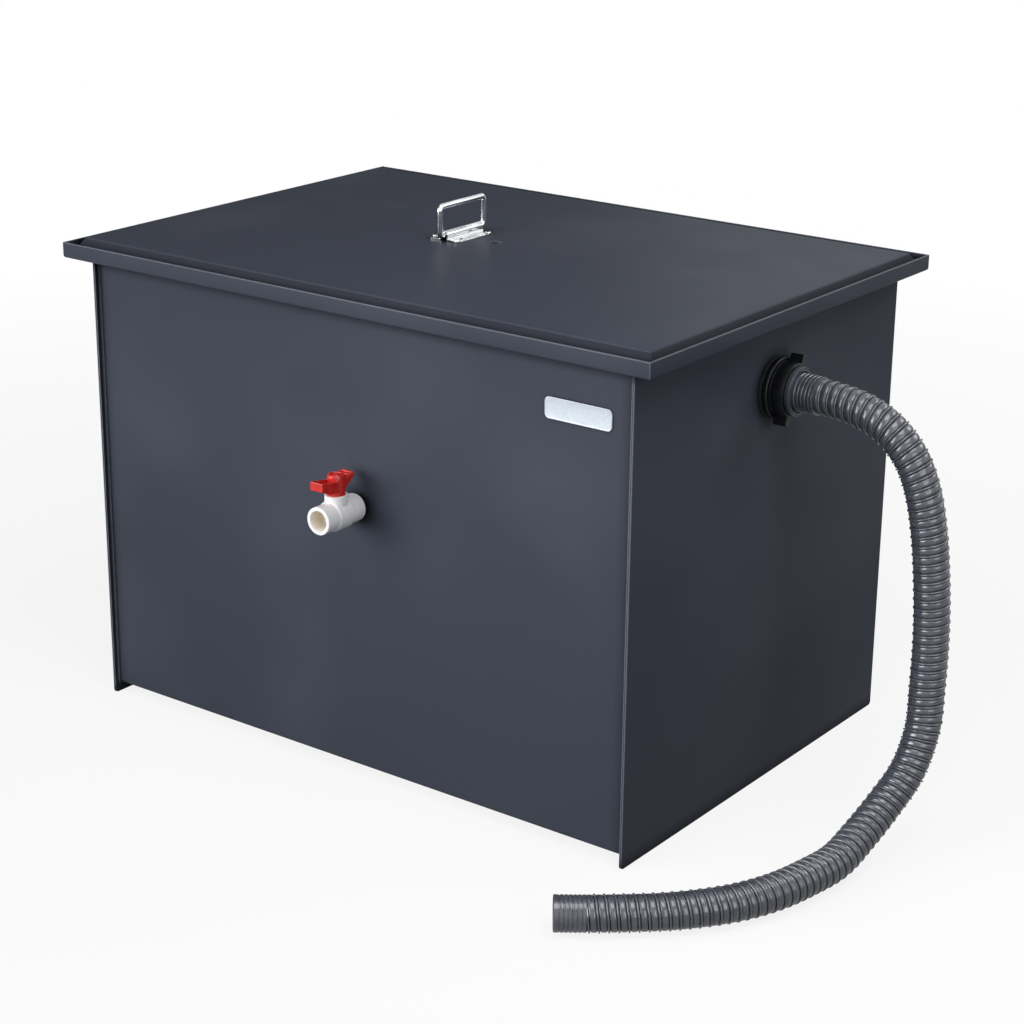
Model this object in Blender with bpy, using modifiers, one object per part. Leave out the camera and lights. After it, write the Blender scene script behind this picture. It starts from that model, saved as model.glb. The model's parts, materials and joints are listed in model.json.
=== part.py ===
"""Commercial grease trap: a painted steel tank with a loose lid, a draw-off valve and a waste hose.

Run with: blender --background --python part.py
Metres, +Z up. The front of the tank faces -Y, the outlet and its hose are on the +X end.
"""

import math

import bmesh
import bpy
from mathutils import Matrix, Vector

# Clearance between pieces that touch on the real trap
GAP = 0.0003

# Faces round a turned piece, and round a small or hidden one
ROUND_STEPS = 32
SMALL_ROUND_STEPS = 24

# Tank: one sheet bent to a U for the front, floor and back, between two end plates that are also the feet
TANK_LENGTH = 0.700
TANK_DEPTH = 0.503
BODY_HEIGHT = 0.495
FOOT_HEIGHT = 0.011
FOOT_CORNER_RADIUS = 0.004
END_PLATE_THICKNESS = 0.003
WRAP_THICKNESS = 0.002
WRAP_INSET = 0.006
WRAP_BEND_RADIUS = 0.005

# Rim: a ledge with an upturned lip, in four mitred strips round the tank's top
RIM_OVERHANG_END = 0.027
RIM_OVERHANG_FRONT = 0.0165
RIM_THICKNESS = 0.002
LIP_HEIGHT = 0.017

# Lid: a pan with sloped borders that sits on a rubber seal in the rim
SEAL_THICKNESS = 0.006
SEAL_WIDTH = 0.010
SEAL_MARGIN = 0.0012
SEAL_CORNER_RADIUS = 0.006
LID_THICKNESS = 0.002
LID_GAP_END = 0.0045
LID_GAP_FRONT = 0.0115
LID_RISE = 0.012
LID_EDGE_LIFT = 0.0015
LID_SLOPE = 0.007
LID_BEND_RADIUS = 0.002
VENT_RADIUS = 0.006
VENT_X = -0.007
VENT_Y = 0.011

# Folding handle on the lid
HANDLE_X = -0.0545
HANDLE_Y = 0.013
BAIL_WIRE_RADIUS = 0.0033
BAIL_WIDTH = 0.083
BAIL_REACH = 0.0355
BAIL_CORNER_RADIUS = 0.005
BAIL_TURNED_IN = 0.026
HANDLE_AXIS_HEIGHT = 0.006
HANDLE_SHEET = 0.0015
HANDLE_PLATE_WIDTH = 0.045
BARREL_LENGTH = 0.062
FLANGE_FLARE = 0.003
FLANGE_CORNER_RADIUS = 0.006
ARCH_FOOT_RADIUS = 0.0025
RIVET_SPACING_X = 0.036
RIVET_SPACING_Y = 0.047
RIVET_SHANK_RADIUS = 0.0019
RIVET_HEAD_RADIUS = 0.0031
RIVET_HEAD_HEIGHT = 0.0017
RIVET_TAIL_RADIUS = 0.0031
RIVET_TAIL_HEIGHT = 0.0026
RIVET_PIN_RADIUS = 0.0011

# Bare plate on the front
PLATE_FROM_END = 0.0655
PLATE_BELOW_LEDGE = 0.0535
PLATE_WIDTH = 0.077
PLATE_TALL = 0.0215
PLATE_THICKNESS = 0.0008
PLATE_CORNER_RADIUS = 0.005

# Draw-off valve: a compact plastic ball valve on a steel nipple through the front
VALVE_X = 0.013
VALVE_HEIGHT = 0.3027
NIPPLE_RADIUS = 0.0100
NIPPLE_BORE_RADIUS = 0.008
NIPPLE_INSIDE = 0.012
NIPPLE_NUT_WIDTH = 0.030
NIPPLE_NUT_THICKNESS = 0.006
WASHER_THICKNESS = 0.0034
WASHER_RADIUS = 0.013
VALVE_LENGTH = 0.0565
SOCKET_RADIUS = 0.0145
SOCKET_DEPTH = 0.0165
SHOULDER = 0.0015
VALVE_BULGE_RADIUS = 0.0160
VALVE_BULGE_LENGTH = 0.022
VALVE_TAPER = 0.002
PORT_RADIUS = 0.0064
BALL_RADIUS = 0.0090
BALL_CAVITY_CLEARANCE = 0.0007
SEAT_RADIUS = 0.0094
SEAT_GRIP = 0.0004
NECK_RADIUS = 0.0120
NECK_TOP = 0.0215
NECK_BORE_DEPTH = 0.006
STEM_RADIUS = 0.0045
STEM_TONGUE_DEPTH = 0.0018
STEM_TONGUE_WIDTH = 0.0034
COLLAR_RADIUS = 0.0100
HUB_TOP = 0.043
HUB_CROWN = 0.003
STEM_IN_HUB = 0.014
ARM_FRONT_REACH = 0.030
ARM_BACK_REACH = 0.018
ARM_WIDTH = 0.0160
ARM_TIP_TOP = 0.0420
ARM_FRONT_BOTTOM = 0.0325
ARM_BACK_BOTTOM = 0.0370
ARM_ROOT_TOP = 0.0385
ARM_ROOT_BOTTOM = 0.0240
ARM_EDGE_RADIUS = 0.0018

# Pipe fittings in the two ends: bulkhead, gaskets, lock nut, lugged nut and coupling ring
OUTLET_BELOW_LEDGE = 0.072
INLET_RISE = 0.015
PIPE_RADIUS = 0.0205
PIPE_BORE_RADIUS = 0.017
PIPE_INSIDE = 0.037
GASKET_THICKNESS = 0.003
GASKET_RADIUS = 0.031
FLANGE_RADIUS = 0.0315
FLANGE_THICKNESS = 0.006
STUB_RADIUS = 0.023
STUB_LENGTH = 0.0104
LOCK_NUT_WIDTH = 0.054
LOCK_NUT_THICKNESS = 0.008
LUG_NUT_RADIUS = 0.0285
LUG_NUT_LENGTH = 0.0157
LUG_NUT_EDGE = 0.0012
LUG_REACH = 0.0368
LUG_THICKNESS = 0.006
LUG_LEAN = math.radians(25)
RING_RADIUS = 0.0252
RING_THICKNESS = 0.0051
RING_MOUTH_RADIUS = 0.0212
RING_MOUTH_DEPTH = 0.003

# Waste hose, plain here: it lies on the floor in front of the outlet end
HOSE_RADIUS = 0.019
HOSE_POINT_SPACING = 0.042

# Inside: two baffles, a strainer basket on two brackets, a dip pipe on the outlet
BAFFLE_OFFSET = 0.117
BAFFLE_THICKNESS = 0.002
BAFFLE_FLANGE = 0.015
BAFFLE_BEND_RADIUS = 0.003
UNDERFLOW_HEIGHT = 0.070
BAFFLE_BELOW_LEDGE = 0.020
BASKET_RIM_HEIGHT = 0.400
BASKET_DEPTH = 0.150
BASKET_CLEARANCE = 0.020
BASKET_RIM_WIDTH = 0.016
BASKET_THICKNESS = 0.0012
BASKET_HOLE_RADIUS = 0.006
BASKET_HOLE_PITCH = 0.034
BASKET_CORNER_RADIUS = 0.010
BASKET_WIRE_RADIUS = 0.003
BASKET_LOOP_WIDTH = 0.100
BASKET_LOOP_RISE = 0.030
BASKET_LOOP_DROP = 0.040
BRACKET_LEG = 0.020
BRACKET_LEDGE = 0.025
BRACKET_THICKNESS = 0.002
BRACKET_BEND_RADIUS = 0.003
DIP_WALL = 0.003
DIP_BEND_RADIUS = 0.045
DIP_MOUTH_HEIGHT = 0.150

# Places that follow from the sizes, in the tank's own frame (its centre, with the feet at height 0)
FLOOR_Z = FOOT_HEIGHT
LEDGE_Z = FLOOR_Z + BODY_HEIGHT
WALL_TOP_Z = LEDGE_Z - GAP
LIP_TOP_Z = LEDGE_Z + LIP_HEIGHT
FRONT_Y = -(TANK_DEPTH / 2 - WRAP_INSET)
END_X = TANK_LENGTH / 2
INSIDE_X = END_X - END_PLATE_THICKNESS
INSIDE_Y = -FRONT_Y - WRAP_THICKNESS
PLATE_X = END_X - PLATE_FROM_END
PLATE_HEIGHT = LEDGE_Z - PLATE_BELOW_LEDGE
RIM_X = END_X + RIM_OVERHANG_END
RIM_Y = TANK_DEPTH / 2 + RIM_OVERHANG_FRONT
LEDGE_TOP_Z = LEDGE_Z + RIM_THICKNESS
SEAL_TOP_Z = LEDGE_TOP_Z + GAP + SEAL_THICKNESS
LID_X = RIM_X - RIM_THICKNESS - LID_GAP_END
LID_Y = RIM_Y - RIM_THICKNESS - LID_GAP_FRONT
LID_TOP_Z = SEAL_TOP_Z + GAP + LID_RISE
HANDLE_AXIS_Z = LID_TOP_Z + HANDLE_AXIS_HEIGHT
BARREL_BORE = BAIL_WIRE_RADIUS + GAP
VALVE_START = WASHER_THICKNESS + 2 * GAP
VALVE_END = VALVE_START + VALVE_LENGTH
STEM_Y = FRONT_Y - VALVE_START - VALVE_LENGTH / 2
BORE_RADIUS = NIPPLE_RADIUS + GAP
CAVITY_HALF = VALVE_LENGTH / 2 - SOCKET_DEPTH - SHOULDER
CAVITY_RADIUS = BALL_RADIUS + BALL_CAVITY_CLEARANCE
OUTLET_HEIGHT = LEDGE_Z - OUTLET_BELOW_LEDGE
INLET_HEIGHT = OUTLET_HEIGHT + INLET_RISE
FLANGE_START = GASKET_THICKNESS + 2 * GAP
STUB_START = FLANGE_START + FLANGE_THICKNESS
STUB_END = STUB_START + STUB_LENGTH
LUG_NUT_START = STUB_START + GAP
LUG_NUT_END = LUG_NUT_START + LUG_NUT_LENGTH
RING_START = LUG_NUT_END + GAP
FITTING_REACH = RING_START + RING_THICKNESS
HOSE_START = END_X + STUB_END + GAP
LOCK_NUT_START = -(END_PLATE_THICKNESS + GASKET_THICKNESS + 2 * GAP)
LOCK_NUT_END = LOCK_NUT_START - LOCK_NUT_THICKNESS
FRONT_REACH = max(-FRONT_Y + VALVE_END, RIM_Y)
ORIGIN_SHIFT = (FRONT_REACH - RIM_Y) / 2

# The hose's route, chosen by hand from where it leaves the coupling ring to its bare end on the floor
HOSE_ROUTE = [
    (HOSE_START, 0.000, OUTLET_HEIGHT),
    (0.395, 0.000, OUTLET_HEIGHT),
    (0.425, -0.001, 0.433),
    (0.455, -0.002, 0.428),
    (0.483, -0.002, 0.415),
    (0.506, -0.002, 0.392),
    (0.521, -0.001, 0.360),
    (0.530, 0.000, 0.320),
    (0.535, 0.001, 0.280),
    (0.538, 0.002, 0.240),
    (0.540, 0.001, 0.200),
    (0.541, -0.002, 0.160),
    (0.543, -0.010, 0.119),
    (0.541, -0.032, 0.081),
    (0.533, -0.064, 0.0525),
    (0.528, -0.102, 0.033),
    (0.5255, -0.1425, 0.0215),
    (0.5185, -0.1855, 0.0195),
    (0.5095, -0.2255, 0.0195),
    (0.4945, -0.2615, 0.0195),
    (0.4745, -0.2925, 0.0195),
    (0.4485, -0.3225, 0.0195),
    (0.4185, -0.3495, 0.0195),
    (0.3885, -0.3735, 0.0195),
    (0.367, -0.3895, 0.0195),
]

# Axes that pieces are turned on
ALONG_X = Vector((1, 0, 0))
ALONG_Z = Vector((0, 0, 1))
OUT_FRONT = Vector((0, -1, 0))


def clear_scene():
    """Takes away whatever the file already holds."""
    for item in list(bpy.data.objects):
        bpy.data.objects.remove(item, do_unlink=True)


def make_collection(name):
    """A new collection in the scene."""
    collection = bpy.data.collections.new(name)
    bpy.context.scene.collection.children.link(collection)
    return collection


def make_material(name, colour, roughness, metallic=0.0):
    """A Principled material with one colour."""
    material = bpy.data.materials.new(name)
    material.use_nodes = True
    shader = material.node_tree.nodes["Principled BSDF"]
    shader.inputs["Base Color"].default_value = (*colour, 1)
    shader.inputs["Roughness"].default_value = roughness
    shader.inputs["Metallic"].default_value = metallic
    material.diffuse_color = (*colour, 1)
    return material


clear_scene()
PARTS = make_collection("grease_trap")
CUTTERS = make_collection("cutters")

POWDER_COAT = make_material("slate_powder_coat", (0.058, 0.064, 0.077), 0.45, 0.2)
CHROME = make_material("polished_steel", (0.80, 0.80, 0.80), 0.12, 1.0)
BARE_STEEL = make_material("galvanised_steel", (0.55, 0.56, 0.57), 0.40, 0.9)
PALE_PLATE = make_material("silver_plate", (0.72, 0.74, 0.76), 0.35, 0.5)
WHITE_PLASTIC = make_material("white_plastic", (0.85, 0.85, 0.83), 0.40)
RED_PLASTIC = make_material("red_plastic", (0.62, 0.03, 0.03), 0.30)
BLACK_PLASTIC = make_material("black_plastic", (0.012, 0.013, 0.016), 0.50)
GREY_PLASTIC = make_material("grey_plastic", (0.16, 0.17, 0.19), 0.45)
HOSE_PLASTIC = make_material("hose_plastic", (0.20, 0.21, 0.23), 0.40)
RUBBER = make_material("black_rubber", (0.015, 0.015, 0.015), 0.80)
SEAT_PLASTIC = make_material("seat_plastic", (0.80, 0.80, 0.78), 0.50)


def make_empty(name, place, parent=None):
    """An empty that carries pieces, at a place in the tank's frame."""
    empty = bpy.data.objects.new(name, None)
    PARTS.objects.link(empty)
    empty.location = place
    empty.parent = parent
    return empty


# The whole trap hangs on one empty, so that its base's centre is at the origin
FRAME = make_empty("trap_frame", (0, ORIGIN_SHIFT, 0))


def add_object(name, data, material, place=(0, 0, 0), turn=None, parent=FRAME):
    """A named piece in the parts' collection, with its material, place and turn."""
    item = bpy.data.objects.new(name, data)
    PARTS.objects.link(item)
    item.data.materials.append(material)
    item.location = place
    if turn is not None:
        item.rotation_mode = "QUATERNION"
        item.rotation_quaternion = turn
    item.parent = parent
    return item


def as_cutter(item):
    """Moves a shape to the cutters, where it shows as wire and isn't a piece."""
    PARTS.objects.unlink(item)
    CUTTERS.objects.link(item)
    item.hide_render = True
    item.display_type = "WIRE"
    return item


def combine(item, other, operation):
    """Cuts a shape out of a piece, joins it on or keeps what both share."""
    modifier = item.modifiers.new(operation.title(), "BOOLEAN")
    modifier.operation = operation
    modifier.solver = "EXACT"
    modifier.object = as_cutter(other)


def mesh_from(work, name):
    """The mesh of a finished bmesh."""
    mesh = bpy.data.meshes.new(name)
    work.to_mesh(mesh)
    work.free()
    return mesh


def fixed_mesh(item):
    """Makes a curve a closed mesh in the same place, so that it can be cut, and gives the new object."""
    bpy.context.view_layer.update()
    evaluated = item.evaluated_get(bpy.context.evaluated_depsgraph_get())
    mesh = bpy.data.meshes.new_from_object(evaluated)
    work = bmesh.new()
    work.from_mesh(mesh)
    bmesh.ops.remove_doubles(work, verts=work.verts, dist=0.00001)
    work.to_mesh(mesh)
    work.free()
    name, parent, matrix = item.name, item.parent, item.matrix_basis.copy()
    curve = item.data
    bpy.data.objects.remove(item, do_unlink=True)
    bpy.data.curves.remove(curve)
    solid = bpy.data.objects.new(name, mesh)
    PARTS.objects.link(solid)
    solid.parent = parent
    solid.matrix_basis = matrix
    return solid


def box(name, low, high, material, parent=FRAME):
    """A plain box between two corners, with its origin in its middle."""
    low, high = Vector(low), Vector(high)
    work = bmesh.new()
    bmesh.ops.create_cube(work, size=1)
    bmesh.ops.scale(work, vec=high - low, verts=work.verts)
    return add_object(name, mesh_from(work, name), material, (low + high) / 2, parent=parent)


def cylinder(name, radius, base, length, axis, material, sides=ROUND_STEPS, parent=FRAME):
    """A cylinder that starts at base and runs along axis."""
    work = bmesh.new()
    bmesh.ops.create_cone(work, cap_ends=True, segments=sides, radius1=radius, radius2=radius, depth=length)
    bmesh.ops.translate(work, vec=(0, 0, length / 2), verts=work.verts)
    turn = axis.to_track_quat("Z", "Y")
    return add_object(name, mesh_from(work, name), material, base, turn, parent)


def turned(name, profile, place, axis, material, steps=ROUND_STEPS, parent=FRAME):
    """A ring or a solid of revolution from points (radius, height along the axis)."""
    closed = profile[0][0] > 0
    work = bmesh.new()
    verts = [work.verts.new((radius, 0, height)) for radius, height in profile]
    followers = verts[1:] + verts[:1] if closed else verts[1:]
    for start, end in zip(verts, followers):
        work.edges.new((start, end))
    item = add_object(name, mesh_from(work, name), material, place, axis.to_track_quat("Z", "Y"), parent)
    screw = item.modifiers.new("Turn", "SCREW")
    screw.steps = steps
    screw.render_steps = steps
    screw.use_merge_vertices = True
    screw.merge_threshold = 0.00001
    return item


def ring(name, inner, outer, start, end, place, axis, material, steps=SMALL_ROUND_STEPS, parent=FRAME):
    """A plain ring between two radii and two heights."""
    profile = [(outer, end), (outer, start), (inner, start), (inner, end)]
    return turned(name, profile, place, axis, material, steps, parent)


def rounded(points, radii, closed=True, steps=4):
    """The outline through points with an arc at each corner: one radius for all, or one each, 0 for sharp."""
    points = [Vector(point) for point in points]
    radii = radii if isinstance(radii, list) else [radii] * len(points)
    outline = []
    for index, (corner, radius) in enumerate(zip(points, radii)):
        at_end = not closed and index in (0, len(points) - 1)
        if at_end or radius == 0:
            outline.append(corner)
            continue
        back = (points[index - 1] - corner).normalized()
        ahead = (points[(index + 1) % len(points)] - corner).normalized()
        half = back.angle(ahead) / 2
        centre = corner + (back + ahead).normalized() * radius / math.sin(half)
        first = (corner + back * radius / math.tan(half) - centre).normalized()
        last = (corner + ahead * radius / math.tan(half) - centre).normalized()
        outline += [centre + first.slerp(last, step / steps) * radius for step in range(steps + 1)]
    return outline


def circle(centre, radius, sides=ROUND_STEPS):
    """The points of a circle in a plane outline."""
    angles = [2 * math.pi * side / sides for side in range(sides)]
    return [Vector(centre) + Vector((math.cos(angle), math.sin(angle))) * radius for angle in angles]


def flat_shape(name, outlines, thickness, material, place, turn=None, parent=FRAME):
    """A flat piece from a plane outline and the outlines of its holes."""
    curve = bpy.data.curves.new(name, "CURVE")
    curve.dimensions = "2D"
    curve.fill_mode = "BOTH"
    curve.extrude = thickness / 2
    for outline in outlines:
        spline = curve.splines.new("POLY")
        spline.points.add(len(outline) - 1)
        spline.use_cyclic_u = True
        for point, (x, y) in zip(spline.points, outline):
            point.co = (x, y, 0, 1)
    return add_object(name, curve, material, place, turn, parent)


def wire(name, points, radius, material, place=(0, 0, 0), resolution=3, parent=FRAME):
    """A round wire, tube or hose through points, with closed ends."""
    curve = bpy.data.curves.new(name, "CURVE")
    curve.dimensions = "3D"
    curve.bevel_depth = radius
    curve.bevel_resolution = resolution
    curve.use_fill_caps = True
    spline = curve.splines.new("POLY")
    spline.points.add(len(points) - 1)
    for point, (x, y, z) in zip(spline.points, points):
        point.co = (x, y, z, 1)
    return add_object(name, curve, material, place, parent=parent)


def bent_sheet(name, line, run, thickness, material, side=-1):
    """A sheet bent to a line of points and as wide as run, with its thickness on one side of the line."""
    work = bmesh.new()
    verts = [work.verts.new(Vector(point) - run / 2) for point in line]
    edges = [work.edges.new(pair) for pair in zip(verts, verts[1:])]
    grown = bmesh.ops.extrude_edge_only(work, edges=edges)["geom"]
    moved = [part for part in grown if isinstance(part, bmesh.types.BMVert)]
    bmesh.ops.translate(work, vec=run, verts=moved)
    item = add_object(name, mesh_from(work, name), material)
    thicken(item, thickness, side)
    return item


def thicken(item, thickness, side):
    """Gives an open surface the sheet's thickness, on one side."""
    solid = item.modifiers.new("Sheet", "SOLIDIFY")
    solid.thickness = thickness
    solid.offset = side
    solid.use_even_offset = True


def soften(item, width, segments=2, angle=math.radians(40)):
    """Rounds a piece's sharp edges."""
    bevel = item.modifiers.new("Soft edges", "BEVEL")
    bevel.width = width
    bevel.segments = segments
    bevel.limit_method = "ANGLE"
    bevel.angle_limit = angle


def hexagon(width):
    """A hexagon outline across its flats."""
    radius = width / math.sqrt(3)
    return [Vector((math.cos(math.radians(60 * side)), math.sin(math.radians(60 * side)))) * radius
            for side in range(6)]


# Tank


def make_wrap():
    """The front, floor and back, one sheet bent to a U, with the nipple's hole."""
    line = rounded(
        [
            (0, FRONT_Y, WALL_TOP_Z),
            (0, FRONT_Y, FLOOR_Z),
            (0, -FRONT_Y, FLOOR_Z),
            (0, -FRONT_Y, WALL_TOP_Z),
        ],
        WRAP_BEND_RADIUS,
        closed=False,
    )
    run = Vector((2 * (INSIDE_X - GAP), 0, 0))
    wrap = bent_sheet("tank_wrap", line, run, WRAP_THICKNESS, POWDER_COAT, side=1)
    start = (VALVE_X, FRONT_Y - WRAP_THICKNESS, VALVE_HEIGHT)
    drill = cylinder("nipple_hole", BORE_RADIUS, start, 3 * WRAP_THICKNESS, -OUT_FRONT, POWDER_COAT)
    combine(wrap, drill, "DIFFERENCE")


def make_end_plate(name, side, pipe_height):
    """An end plate: its lower corners are rounded, and it stands below the floor as a foot."""
    half = TANK_DEPTH / 2
    corners = [(-half, 0), (half, 0), (half, WALL_TOP_Z), (-half, WALL_TOP_Z)]
    outline = rounded(corners, [FOOT_CORNER_RADIUS, FOOT_CORNER_RADIUS, 0, 0])
    hole = circle((0, pipe_height), PIPE_RADIUS + GAP)
    place = (side * (END_X - END_PLATE_THICKNESS / 2), 0, 0)
    turn = Matrix(((0, 0, 1), (1, 0, 0), (0, 1, 0))).to_quaternion()
    flat_shape(name, [outline, hole], END_PLATE_THICKNESS, POWDER_COAT, place, turn)


def make_rim_strip(name, side, across):
    """One rim strip: a ledge with an upturned lip, its ends mitred on the corner's diagonal."""
    inner = Vector((INSIDE_X, INSIDE_Y))
    outer = Vector((RIM_X, RIM_Y))
    depth_axis, run_axis = (1, 0) if across else (0, 1)
    near, far = inner[depth_axis], outer[depth_axis]
    section = [
        (near, LEDGE_Z),
        (far, LEDGE_Z),
        (far, LIP_TOP_Z),
        (far - RIM_THICKNESS, LIP_TOP_Z),
        (far - RIM_THICKNESS, LEDGE_TOP_Z),
        (near, LEDGE_TOP_Z),
    ]
    slope = (outer[run_axis] - inner[run_axis]) / (far - near)
    work = bmesh.new()
    verts = []
    for depth, height in section:
        place = [0, 0, height]
        place[depth_axis] = side * depth
        place[run_axis] = -1
        verts.append(work.verts.new(place))
    face = work.faces.new(verts)
    grown = bmesh.ops.extrude_face_region(work, geom=[face])["geom"]
    shift = Vector((0, 0, 0))
    shift[run_axis] = 2
    moved = [part for part in grown if isinstance(part, bmesh.types.BMVert)]
    bmesh.ops.translate(work, vec=shift, verts=moved)
    for vert in work.verts:
        end = inner[run_axis] + (abs(vert.co[depth_axis]) - near) * slope - GAP / 2
        vert.co[run_axis] = math.copysign(end, vert.co[run_axis])
    bmesh.ops.recalc_face_normals(work, faces=work.faces)
    add_object(name, mesh_from(work, name), POWDER_COAT)


def make_tank():
    """The welded tank: wrap, end plates and rim."""
    make_wrap()
    make_end_plate("end_plate_left", -1, INLET_HEIGHT)
    make_end_plate("end_plate_right", 1, OUTLET_HEIGHT)
    make_rim_strip("rim_front", -1, True)
    make_rim_strip("rim_back", 1, True)
    make_rim_strip("rim_left", -1, False)
    make_rim_strip("rim_right", 1, False)


# Lid


def make_seal():
    """A flat rubber frame on the ledge, under the lid's edge."""
    outer_x, outer_y = LID_X + SEAL_MARGIN, LID_Y + SEAL_MARGIN
    inner_x, inner_y = outer_x - SEAL_WIDTH, outer_y - SEAL_WIDTH
    outer = [(-outer_x, -outer_y), (outer_x, -outer_y), (outer_x, outer_y), (-outer_x, outer_y)]
    inner = [(-inner_x, -inner_y), (inner_x, -inner_y), (inner_x, inner_y), (-inner_x, inner_y)]
    outlines = [rounded(outer, SEAL_CORNER_RADIUS), rounded(inner, SEAL_CORNER_RADIUS)]
    place = (0, 0, SEAL_TOP_Z - SEAL_THICKNESS / 2)
    flat_shape("lid_seal", outlines, SEAL_THICKNESS, RUBBER, place)


def rivet_places():
    """The four rivets' places on the lid."""
    return [
        (HANDLE_X + side * RIVET_SPACING_X / 2, HANDLE_Y + end * RIVET_SPACING_Y / 2)
        for side in (-1, 1)
        for end in (-1, 1)
    ]


def drill_rivet_holes(item, low, high):
    """Cuts the rivets' four holes through a piece."""
    for number, (x, y) in enumerate(rivet_places(), 1):
        name = f"rivet_hole_{item.name}_{number}"
        radius = RIVET_SHANK_RADIUS + GAP
        drill = cylinder(name, radius, (x, y, low), high - low, ALONG_Z, CHROME, 16)
        combine(item, drill, "DIFFERENCE")


def make_lid():
    """The lid: a flat top with sloped borders down to the seal, a vent hole and the handle's rivet holes."""
    work = bmesh.new()
    bmesh.ops.create_grid(work, x_segments=1, y_segments=1, size=1)
    bmesh.ops.scale(work, vec=(LID_X - LID_SLOPE, LID_Y - LID_SLOPE, 1), verts=work.verts)
    bmesh.ops.translate(work, vec=(0, 0, LID_TOP_Z), verts=work.verts)
    grown = bmesh.ops.extrude_edge_only(work, edges=list(work.edges))["geom"]
    for part in grown:
        if isinstance(part, bmesh.types.BMVert):
            part.co.x += math.copysign(LID_SLOPE, part.co.x)
            part.co.y += math.copysign(LID_SLOPE, part.co.y)
            part.co.z -= LID_RISE - LID_EDGE_LIFT
    bmesh.ops.recalc_face_normals(work, faces=work.faces)
    lid = add_object("lid", mesh_from(work, "lid"), POWDER_COAT)
    soften(lid, LID_BEND_RADIUS, 2, math.radians(15))
    thicken(lid, LID_THICKNESS, -1)
    under, over = LID_TOP_Z - 2 * LID_THICKNESS, LID_TOP_Z + LID_THICKNESS
    start = (VENT_X, VENT_Y, under)
    vent = cylinder("vent_hole", VENT_RADIUS, start, over - under, ALONG_Z, POWDER_COAT, SMALL_ROUND_STEPS)
    combine(lid, vent, "DIFFERENCE")
    drill_rivet_holes(lid, under, over)


def make_handle_plate():
    """The handle's pressed plate: two flanges and an arch that the bail turns in."""
    base = LID_TOP_Z + GAP
    arch = BARREL_BORE
    top = HANDLE_AXIS_Z
    half = HANDLE_PLATE_WIDTH / 2
    sides = 8
    angles = [math.pi - math.pi * side / sides for side in range(sides + 1)]
    crown = [(arch * math.cos(angle), top + arch * math.sin(angle)) for angle in angles]
    foot = ARCH_FOOT_RADIUS
    left = [(-half, base), (-arch - foot, base), (-arch, base + foot)]
    right = [(-x, z) for x, z in reversed(left)]
    line = [(HANDLE_X + x, HANDLE_Y, z) for x, z in left + crown + right]
    run = Vector((0, BARREL_LENGTH + 2 * FLANGE_FLARE, 0))
    plate = bent_sheet("handle_plate", line, run, HANDLE_SHEET, CHROME, side=-1)
    barrel, flared = BARREL_LENGTH / 2, BARREL_LENGTH / 2 + FLANGE_FLARE
    waist = arch + HANDLE_SHEET
    corners = [
        (-half, -flared), (-waist, -barrel), (waist, -barrel), (half, -flared),
        (half, flared), (waist, barrel), (-waist, barrel), (-half, flared),
    ]
    tall = 4 * HANDLE_AXIS_HEIGHT
    place = (HANDLE_X, HANDLE_Y, base)
    rounded_corners = rounded(corners, FLANGE_CORNER_RADIUS)
    outline = flat_shape("handle_plate_outline", [rounded_corners], tall, CHROME, place)
    combine(plate, fixed_mesh(outline), "INTERSECT")
    drill_rivet_holes(plate, base - HANDLE_SHEET, base + 2 * HANDLE_SHEET)


def make_rivets():
    """Four blind rivets: a domed head with the pin's hole, a shank, and a tail under the lid."""
    head_base = LID_TOP_Z + HANDLE_SHEET + 2 * GAP
    head_top = head_base + RIVET_HEAD_HEIGHT
    tail_top = LID_TOP_Z - LID_THICKNESS - GAP
    profile = [
        (0, head_top - RIVET_HEAD_HEIGHT / 2),
        (RIVET_PIN_RADIUS, head_top - RIVET_HEAD_HEIGHT / 2),
        (RIVET_PIN_RADIUS, head_top),
        (RIVET_HEAD_RADIUS * 0.7, head_top - RIVET_HEAD_HEIGHT * 0.2),
        (RIVET_HEAD_RADIUS, head_top - RIVET_HEAD_HEIGHT * 0.6),
        (RIVET_HEAD_RADIUS, head_base),
        (RIVET_SHANK_RADIUS, head_base),
        (RIVET_SHANK_RADIUS, tail_top),
        (RIVET_TAIL_RADIUS, tail_top - RIVET_TAIL_HEIGHT * 0.3),
        (RIVET_TAIL_RADIUS * 0.8, tail_top - RIVET_TAIL_HEIGHT),
        (0, tail_top - RIVET_TAIL_HEIGHT),
    ]
    for number, (x, y) in enumerate(rivet_places(), 1):
        turned(f"handle_rivet_{number}", profile, (x, y, 0), ALONG_Z, CHROME, 12)


def make_bail():
    """The folding bail: one bent wire whose ends turn inwards into the plate's arch."""
    side = BAIL_WIDTH / 2 - BAIL_WIRE_RADIUS
    inner = side - BAIL_TURNED_IN
    path = [
        (0, -inner, 0),
        (0, -side, 0),
        (0, -side, BAIL_REACH - BAIL_WIRE_RADIUS),
        (0, side, BAIL_REACH - BAIL_WIRE_RADIUS),
        (0, side, 0),
        (0, inner, 0),
    ]
    points = rounded(path, BAIL_CORNER_RADIUS, closed=False)
    wire("handle_bail", points, BAIL_WIRE_RADIUS, CHROME, (HANDLE_X, HANDLE_Y, HANDLE_AXIS_Z))


def make_lid_group():
    """The seal, the lid and the folding handle on it."""
    make_seal()
    make_lid()
    make_handle_plate()
    make_rivets()
    make_bail()


# Front


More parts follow.
